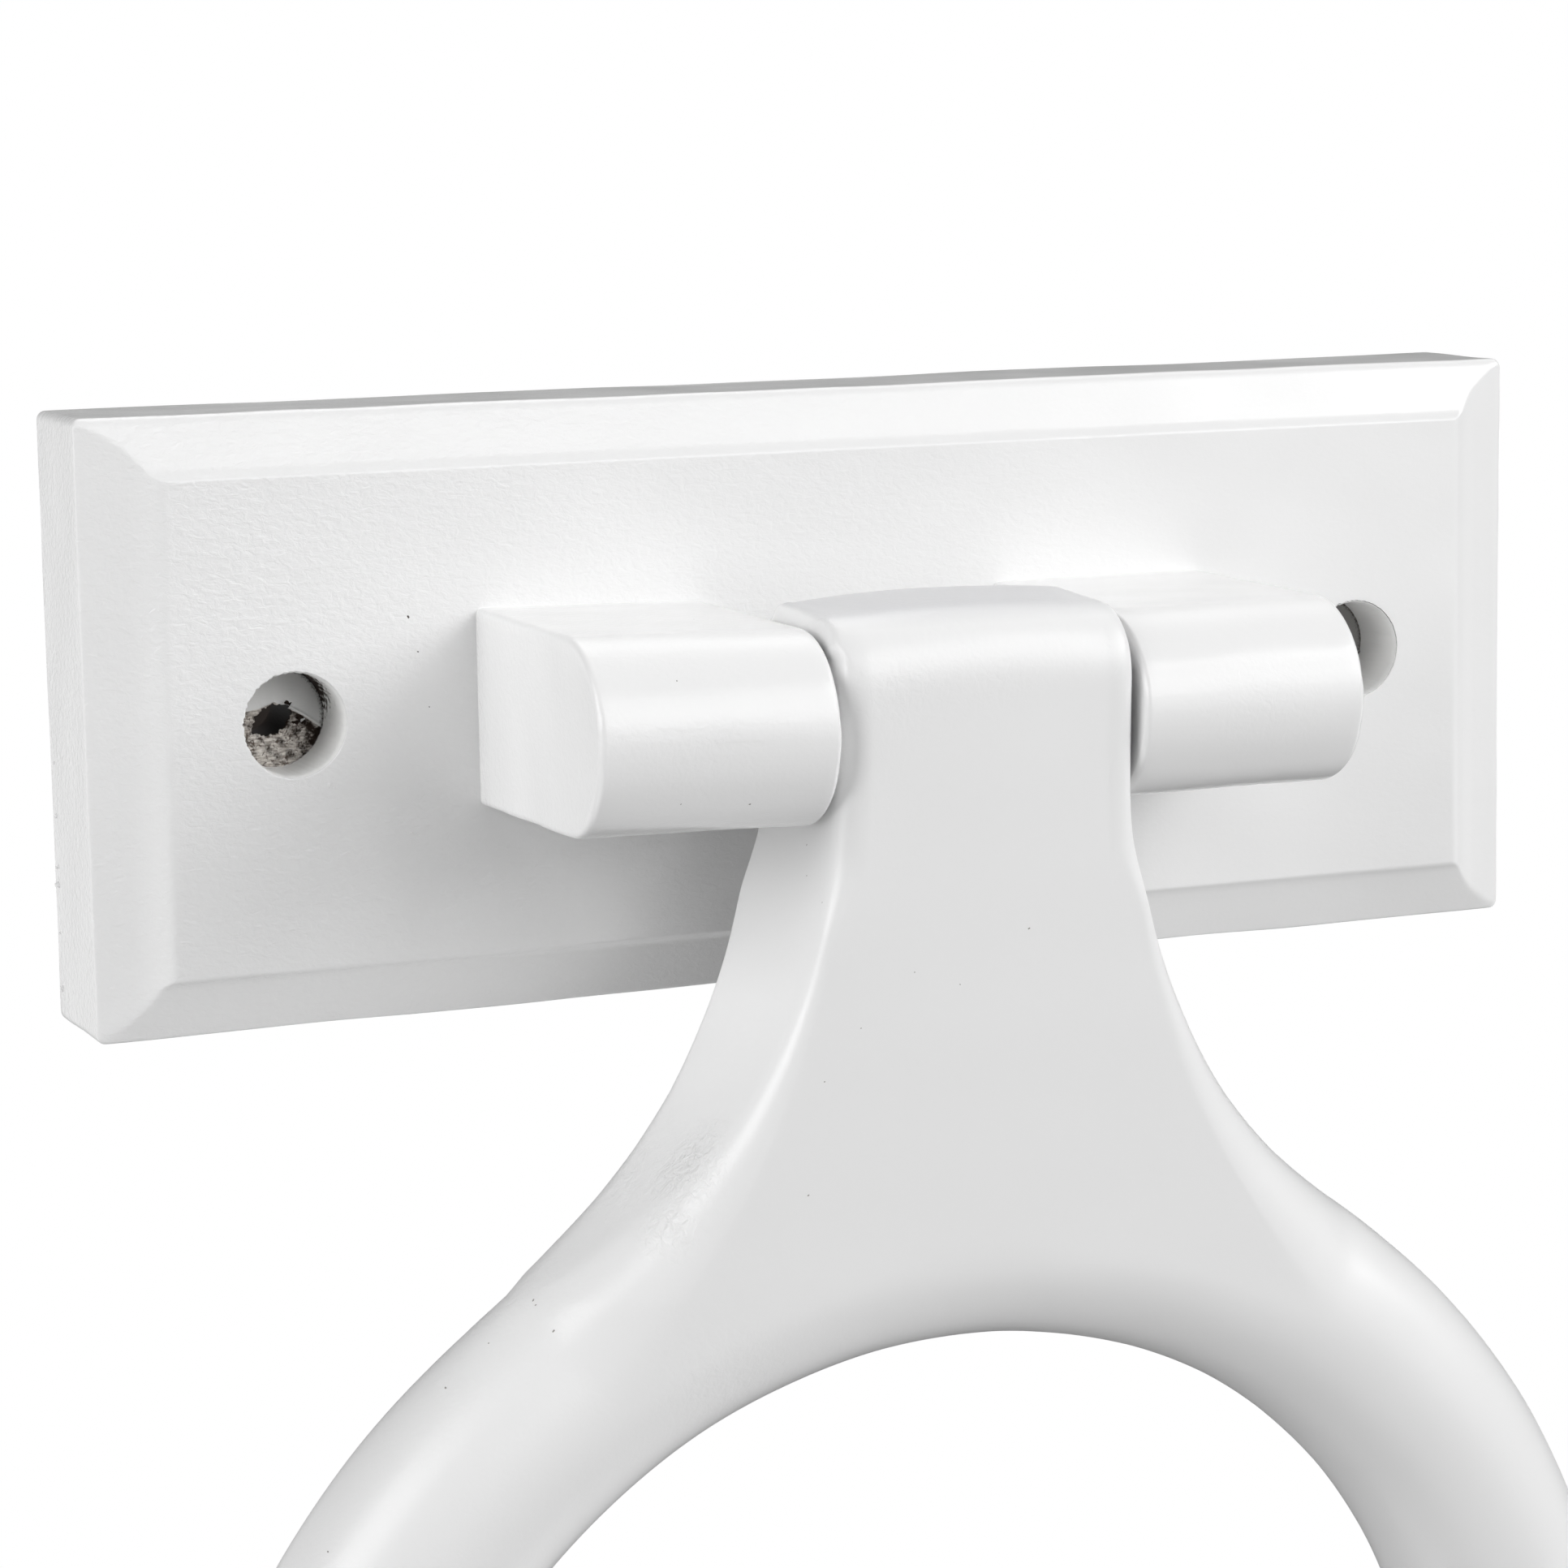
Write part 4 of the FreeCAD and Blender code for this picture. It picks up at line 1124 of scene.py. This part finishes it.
def recess_finish_and_shade():
    """Inside of a screw recess: white paint, sooty dirt with painted shade, a white paint film, and scraped
    bare iron.

    Three point attributes, for soot with painted shade, film and painted shade, say what lies where. The
    iron has scratches about 0.15 mm apart that run up to the right, and rust-brown pits about 0.4 mm wide.
    The edge of the soot and painted shade breaks up into grains of about 0.2 mm. The shade attribute is
    painted shade, a grey-brown darkening.
    """
    material, tree = new_material("scraped_iron_paint_and_shade")
    place = add(tree, "ShaderNodeTexCoord").outputs["Object"]
    soot_and_shade, film, shade = (
        add(tree, "ShaderNodeAttribute", {"attribute_name": label}).outputs["Fac"]
        for label in ("soot_and_shade", "film", "shade")
    )
    scratch_scale = (per_metre(SCRATCH_LENGTH), per_metre(SCRATCH_LENGTH), per_metre(SCRATCH_SPACING))
    scratch_place = add(
        tree, "ShaderNodeMapping", {"Rotation": (0.0, math.radians(38), 0.0), "Scale": scratch_scale},
        Vector=place,
    )
    scratches = add(
        tree, "ShaderNodeTexNoise", {"Scale": 1.0, "Detail": 3.0}, Vector=scratch_place.outputs["Vector"]
    )
    scraped = add(
        tree, "ShaderNodeMapRange", {"From Min": 0.32, "From Max": 0.66}, Value=scratches.outputs["Fac"]
    )
    iron = add(
        tree, "ShaderNodeMixRGB", {"Color1": linear("#A59C94"), "Color2": linear("#F0EBE4")},
        Fac=scraped.outputs["Result"],
    )
    holes = add(
        tree, "ShaderNodeTexNoise",
        {"Scale": per_metre(RUST_PIT_WIDTH), "Detail": 4.0, "Roughness": 0.65, "Distortion": 0.8},
        Vector=place,
    )
    pitted = add(
        tree, "ShaderNodeMapRange", {"From Min": 0.47, "From Max": 0.39, "To Max": 0.85},
        Value=holes.outputs["Fac"],
    )
    rusty = add(
        tree, "ShaderNodeMixRGB", {"Color2": linear("#4A3C33")},
        Fac=pitted.outputs["Result"], Color1=iron.outputs["Color"],
    )
    coated = add(
        tree, "ShaderNodeMixRGB", {"Color2": linear("#F4F4F3")}, Fac=film, Color1=rusty.outputs["Color"]
    )
    # Painted shade: the shade attribute mixes in a grey-brown darkening.
    shaded_colour = add(
        tree, "ShaderNodeMixRGB", {"Color2": linear("#5E5A57")}, Fac=shade, Color1=coated.outputs["Color"]
    )
    grains = add(
        tree, "ShaderNodeTexNoise",
        {"Scale": per_metre(SOOT_GRAIN_WIDTH), "Detail": 4.0, "Roughness": 0.7},
        Vector=place,
    )
    # Soot, and painted shade at the creases and deep on the wall, darken the colour towards sooty brown.
    broken = add(tree, "ShaderNodeMath", {"operation": "ADD"}, Value=[soot_and_shade, grains.outputs["Fac"]])
    dirt_and_shade = add(
        tree, "ShaderNodeMapRange", {"From Min": 0.78, "From Max": 1.18}, Value=broken.outputs["Value"]
    )
    dirt_and_shade_colour = add(
        tree, "ShaderNodeMixRGB", {"Color2": linear("#2B211B")},
        Fac=dirt_and_shade.outputs["Result"], Color1=shaded_colour.outputs["Color"],
    )
    relief = add(
        tree, "ShaderNodeBump", {"Strength": 0.5, "Distance": 0.04 * MM}, Height=scratches.outputs["Fac"]
    )
    finish = add(
        tree, "ShaderNodeBsdfPrincipled", {"Roughness": 0.6, "IOR": 1.45, "Specular IOR Level": 0.12},
        Base_Color=dirt_and_shade_colour.outputs["Color"], Normal=relief.outputs["Normal"],
    )
    add(tree, "ShaderNodeOutputMaterial", Surface=finish.outputs["BSDF"])
    return material


def speck_finish(name, colour):
    """Small blemishes in the paint, glossy and finely grained: pinholes, or little lumps of paint."""
    material, tree = new_material(name)
    place = add(tree, "ShaderNodeTexCoord").outputs["Object"]
    noise = add(
        tree, "ShaderNodeTexNoise", {"Scale": per_metre(SPECK_GRAIN_WIDTH), "Detail": 2.0}, Vector=place
    )
    relief = add(
        tree, "ShaderNodeBump", {"Strength": 0.4, "Distance": 0.02 * MM}, Height=noise.outputs["Fac"]
    )
    finish = add(
        tree, "ShaderNodeBsdfPrincipled", {"Base Color": linear(colour), "Roughness": 0.35},
        Normal=relief.outputs["Normal"],
    )
    add(tree, "ShaderNodeOutputMaterial", Surface=finish.outputs["BSDF"])
    return material


def drawn_steel():
    """Plain drawn steel: a grey metal with fine scratches along the bar."""
    material, tree = new_material("drawn_steel")
    place = add(tree, "ShaderNodeTexCoord").outputs["Object"]
    line_scale = (per_metre(DRAW_LINE_LENGTH), per_metre(DRAW_LINE_SPACING), per_metre(DRAW_LINE_SPACING))
    along = add(tree, "ShaderNodeMapping", {"Scale": line_scale}, Vector=place)
    lines = add(tree, "ShaderNodeTexNoise", {"Scale": 1.0, "Detail": 2.0}, Vector=along.outputs["Vector"])
    relief = add(
        tree, "ShaderNodeBump", {"Strength": 0.3, "Distance": 0.02 * MM}, Height=lines.outputs["Fac"]
    )
    steel = add(
        tree, "ShaderNodeBsdfPrincipled",
        {"Base Color": linear("#B4B4B6"), "Metallic": 1.0, "Roughness": 0.38},
        Normal=relief.outputs["Normal"],
    )
    add(tree, "ShaderNodeOutputMaterial", Surface=steel.outputs["BSDF"])
    return material


def glow(name, colour):
    """A surface that shows one colour whatever light falls on it, for the studio."""
    material, tree = new_material(name)
    light = add(tree, "ShaderNodeEmission", {"Color": linear(colour), "Strength": 1.0})
    add(tree, "ShaderNodeOutputMaterial", Surface=light.outputs["Emission"])
    return material


def smooth_and_paint(piece, material):
    """Smooth shading, with crisp edges where surfaces meet at more than the sharp angle, and the material."""
    piece.data.polygons.foreach_set("use_smooth", np.ones(len(piece.data.polygons), bool))
    piece.data.set_sharp_from_angle(angle=math.radians(SHARP_EDGE_DEGREES))
    piece.data.materials.clear()
    piece.data.materials.append(material)


def camera_directions():
    """Unit directions of the photograph's right, its down and the way the camera looks."""
    yaw = math.radians(CAMERA_YAW)
    pitch = math.radians(CAMERA_PITCH)
    roll = math.radians(CAMERA_ROLL)
    ahead = [math.sin(yaw) * math.cos(pitch), math.cos(yaw) * math.cos(pitch), -math.sin(pitch)]
    forward = np.array(ahead)
    level = np.array([math.cos(yaw), -math.sin(yaw), 0.0])
    below = np.cross(forward, level)
    right = math.cos(roll) * level + math.sin(roll) * below
    down = -math.sin(roll) * level + math.cos(roll) * below
    return right, down, forward


def facing(place, across, upward, backward):
    """The placement of a camera or lamp, whose own axes are across, up and backward."""
    turn = Matrix.Identity(4)
    for column, axis in enumerate((across, upward, backward)):
        for row in range(3):
            turn[row][column] = axis[row]
    return Matrix.Translation(place) @ turn


def surface_of(carrier):
    """A casting's surface, ready for rays."""
    return BVHTree.FromObject(carrier, bpy.context.evaluated_depsgraph_get())


def seen_place(surface, across, below):
    """Where the camera's ray through a pixel of the photograph meets a casting, and the normal there."""
    right, down, forward = camera_directions()
    from_middle = right * (across - PHOTO_SIZE / 2) + down * (below - PHOTO_SIZE / 2)
    ahead = Vector(forward + from_middle / FOCAL_PIXELS).normalized()
    hit, normal, _, _ = surface.ray_cast(Vector(CAMERA_PLACE) * MM, ahead)
    return hit, normal


def spots_on(carrier, spots):
    """The rough spots as places on a casting, in metres, with their reach and height in millimetres."""
    surface = surface_of(carrier)
    return [(seen_place(surface, across, below)[0], reach, height) for across, below, reach, height in spots]


def surface_dots(name, carrier, dots, dome_rise, seed):
    """Little low domes on a casting's surface, each given as a pixel of the photograph and a radius.

    A dome's rim is irregular and lies just under the surface, and its top is a flat curve. Its rows are a
    share of the radius and a share of the dome's rise.
    """
    draw = np.random.default_rng(seed)
    surface = surface_of(carrier)
    angle = np.linspace(0, 2 * math.pi, 14, endpoint=False)
    rim_depth = 0.02
    dome_rows = ((0.75, 0.6), (0.4, 1.0), (0.0, 1.1))
    sheets = []
    for across, below, radius in dots:
        hit, normal = seen_place(surface, across, below)
        sideways = normal.cross(Vector((0, 0, 1))).normalized()
        upward = np.array(sideways.cross(normal).normalized())
        normal = np.array(normal)
        sideways = np.array(sideways)
        oval = 0.3 * np.sin(2 * angle + draw.uniform(0, 6))
        wobble = 1 + oval + 0.15 * np.sin(5 * angle + draw.uniform(0, 6))
        around = np.cos(angle)[:, None] * sideways + np.sin(angle)[:, None] * upward
        middle = np.array(hit) / MM
        reach = (radius * wobble)[:, None] * around
        rings = [middle + reach - normal * rim_depth]
        rings += [middle + share * reach + normal * dome_rise * rise * radius for share, rise in dome_rows]
        under = list(range(len(angle)))
        sheets.append((np.array(rings), grid_faces(len(rings), len(angle), wrap_columns=True) + [under]))
    return make_piece(name, sheets)


def build_backdrop():
    """A white floor that curves up into a white surround, and dark glowing cards behind the screw holes,
    which paint the shade seen through them. Only the camera sees them.
    """
    turn = np.linspace(0, math.pi / 2, 12)
    reach = np.concatenate([[0.0], STUDIO_RADIUS - 1 + np.sin(turn), [STUDIO_RADIUS, 0.0]])
    level = FLOOR_Z + np.concatenate([[0.0], 1 - np.cos(turn), [STUDIO_HEIGHT, STUDIO_HEIGHT]])
    angle = np.linspace(0, 2 * math.pi, 96, endpoint=False)
    x = np.outer(reach, np.cos(angle))
    y = np.outer(reach, np.sin(angle))
    z = np.repeat(level[:, None], len(angle), axis=1)
    points = np.stack([x, y, z], axis=-1) / MM
    floor = make_piece("floor", [(points, grid_faces(len(reach), len(angle), wrap_columns=True))])
    smooth_and_paint(floor, glow("white_studio", "#FFFFFF"))
    card_profile = [
        (0, CARD_FRONT_Y), (CARD_RADIUS, CARD_FRONT_Y), (CARD_RADIUS, CARD_BACK_Y), (0, CARD_BACK_Y),
    ]
    cards = []
    for side in (-1, 1):
        # The cards glow a dark grey-brown: painted shade for the dark seen through the screw holes.
        card = turned(card_profile, (side * SCREW_X, 0), 32)
        cards.append(make_piece("hole_shade_card%d" % (side + 1), [card]))
        smooth_and_paint(cards[-1], glow("painted_shade_card%d" % (side + 1), "#2A2624"))
    for piece in (floor, *cards):
        piece.visible_diffuse = False
        piece.visible_glossy = False
        piece.visible_shadow = False
        piece.visible_transmission = False


def build_sky():
    """The sky's light: each region's strength times a power of how near a direction is to its own."""
    world = bpy.data.worlds.new("studio")
    bpy.context.scene.world = world
    world.use_nodes = True
    tree = world.node_tree
    tree.nodes.clear()
    direction = add(tree, "ShaderNodeTexCoord").outputs["Generated"]
    total = 0.0
    for name, axis, strength in SKY_REGIONS:
        nearness = add(tree, "ShaderNodeVectorMath", {"operation": "DOT_PRODUCT"}, Vector=[direction, axis])
        ahead = add(tree, "ShaderNodeMath", {"operation": "MAXIMUM"}, Value=[nearness.outputs["Value"], 0.0])
        lobe = add(tree, "ShaderNodeMath", {"operation": "POWER"}, Value=[ahead.outputs["Value"], SKY_FOCUS])
        share = add(
            tree, "ShaderNodeMath", {"operation": "MULTIPLY_ADD", "name": name},
            Value=[lobe.outputs["Value"], strength, total],
        )
        total = share.outputs["Value"]
    sky = add(tree, "ShaderNodeBackground", {"Color": linear("#FFFFFF")}, Strength=total)
    add(tree, "ShaderNodeOutputWorld", Surface=sky.outputs["Background"])


def build_lamps():
    """Square lamps round the ring, each facing its neck."""
    for name, turn, rise, power in LAMPS:
        turn = math.radians(turn)
        rise = math.radians(rise)
        heading = [math.sin(turn) * math.cos(rise), -math.cos(turn) * math.cos(rise), math.sin(rise)]
        place = LAMP_DISTANCE * np.array(heading)
        lamp = bpy.data.lights.new(name, "AREA")
        lamp.shape = "SQUARE"
        lamp.size = LAMP_WIDTH
        lamp.energy = power
        holder = bpy.data.objects.new(name, lamp)
        bpy.context.scene.collection.objects.link(holder)
        backward = place - np.array(LAMP_AIM)
        backward /= np.linalg.norm(backward)
        sideways = np.cross([0, 0, 1], backward)
        sideways /= np.linalg.norm(sideways)
        holder.matrix_world = facing(place, sideways, np.cross(backward, sideways), backward)


def build_camera():
    """The photograph's camera: left of the ring and a little above it, looking down at 8.6 degrees."""
    right, down, forward = camera_directions()
    lens = bpy.data.cameras.new("camera")
    lens.sensor_width = SENSOR_WIDTH
    lens.lens = FOCAL_PIXELS / PHOTO_SIZE * SENSOR_WIDTH
    lens.clip_start = 0.01
    camera = bpy.data.objects.new("camera", lens)
    bpy.context.scene.collection.objects.link(camera)
    camera.matrix_world = facing(Vector(CAMERA_PLACE) * MM, right, -down, -forward)
    bpy.context.scene.camera = camera


plate = build_plate_casting()
settle_surface(plate, plate_unevenness)
plate_spots = spots_on(plate, PLATE_ROUGH_SPOTS)
smooth_and_paint(plate, powder_coat("white_powder_coat_plate", PLATE_GRAIN, plate_spots, PLATE_SHINE))

ring = build_ring_casting()
settle_surface(ring, ring_unevenness)
ring_paint = powder_coat(
    "white_powder_coat_ring", RING_GRAIN, spots_on(ring, RING_ROUGH_SPOTS), RING_SHINE
)
# Painted shade on the knuckle's upward-facing top.
shade_knuckle_top(ring_paint)
smooth_and_paint(ring, ring_paint)

recess_paint = recess_finish_and_shade()
linings = [build_recess_lining(-1, 21), build_recess_lining(1, 31)]
for lining in linings:
    smooth_and_paint(lining, recess_paint)

pinhole = speck_finish("dark_pinhole", "#4A4440")
faint_pinhole = speck_finish("faint_pinhole", "#96928F")
blob = speck_finish("paint_lump", PAINT_COLOUR)
plate_specks = surface_dots("plate_pinholes", plate, PLATE_PINHOLES, PINHOLE_RISE, 41)
plate_lumps = surface_dots("plate_paint_lumps", plate, PLATE_LUMPS, LUMP_RISE, 42)
plate_burrs = surface_dots("plate_edge_burrs", plate, PLATE_BURRS, BURR_RISE, 44)
ring_specks = surface_dots("ring_pinholes", ring, RING_PINHOLES, PINHOLE_RISE, 43)
smooth_and_paint(plate_specks, pinhole)
smooth_and_paint(plate_lumps, blob)
smooth_and_paint(plate_burrs, blob)
smooth_and_paint(ring_specks, faint_pinhole)

for pieces, body, node in (
    ([plate, *linings, plate_specks, plate_lumps, plate_burrs], "plate", "wall_plate"),
    ([ring, ring_specks], "ring", "towel_ring"),
):
    for piece in pieces:
        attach(piece, body)
        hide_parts(node)

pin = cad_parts["hinge_pin"]
pin.data.materials.clear()
pin.data.materials.append(drawn_steel())

build_backdrop()
build_sky()
build_lamps()
build_camera()
bpy.context.scene.view_settings.view_transform = "Standard"
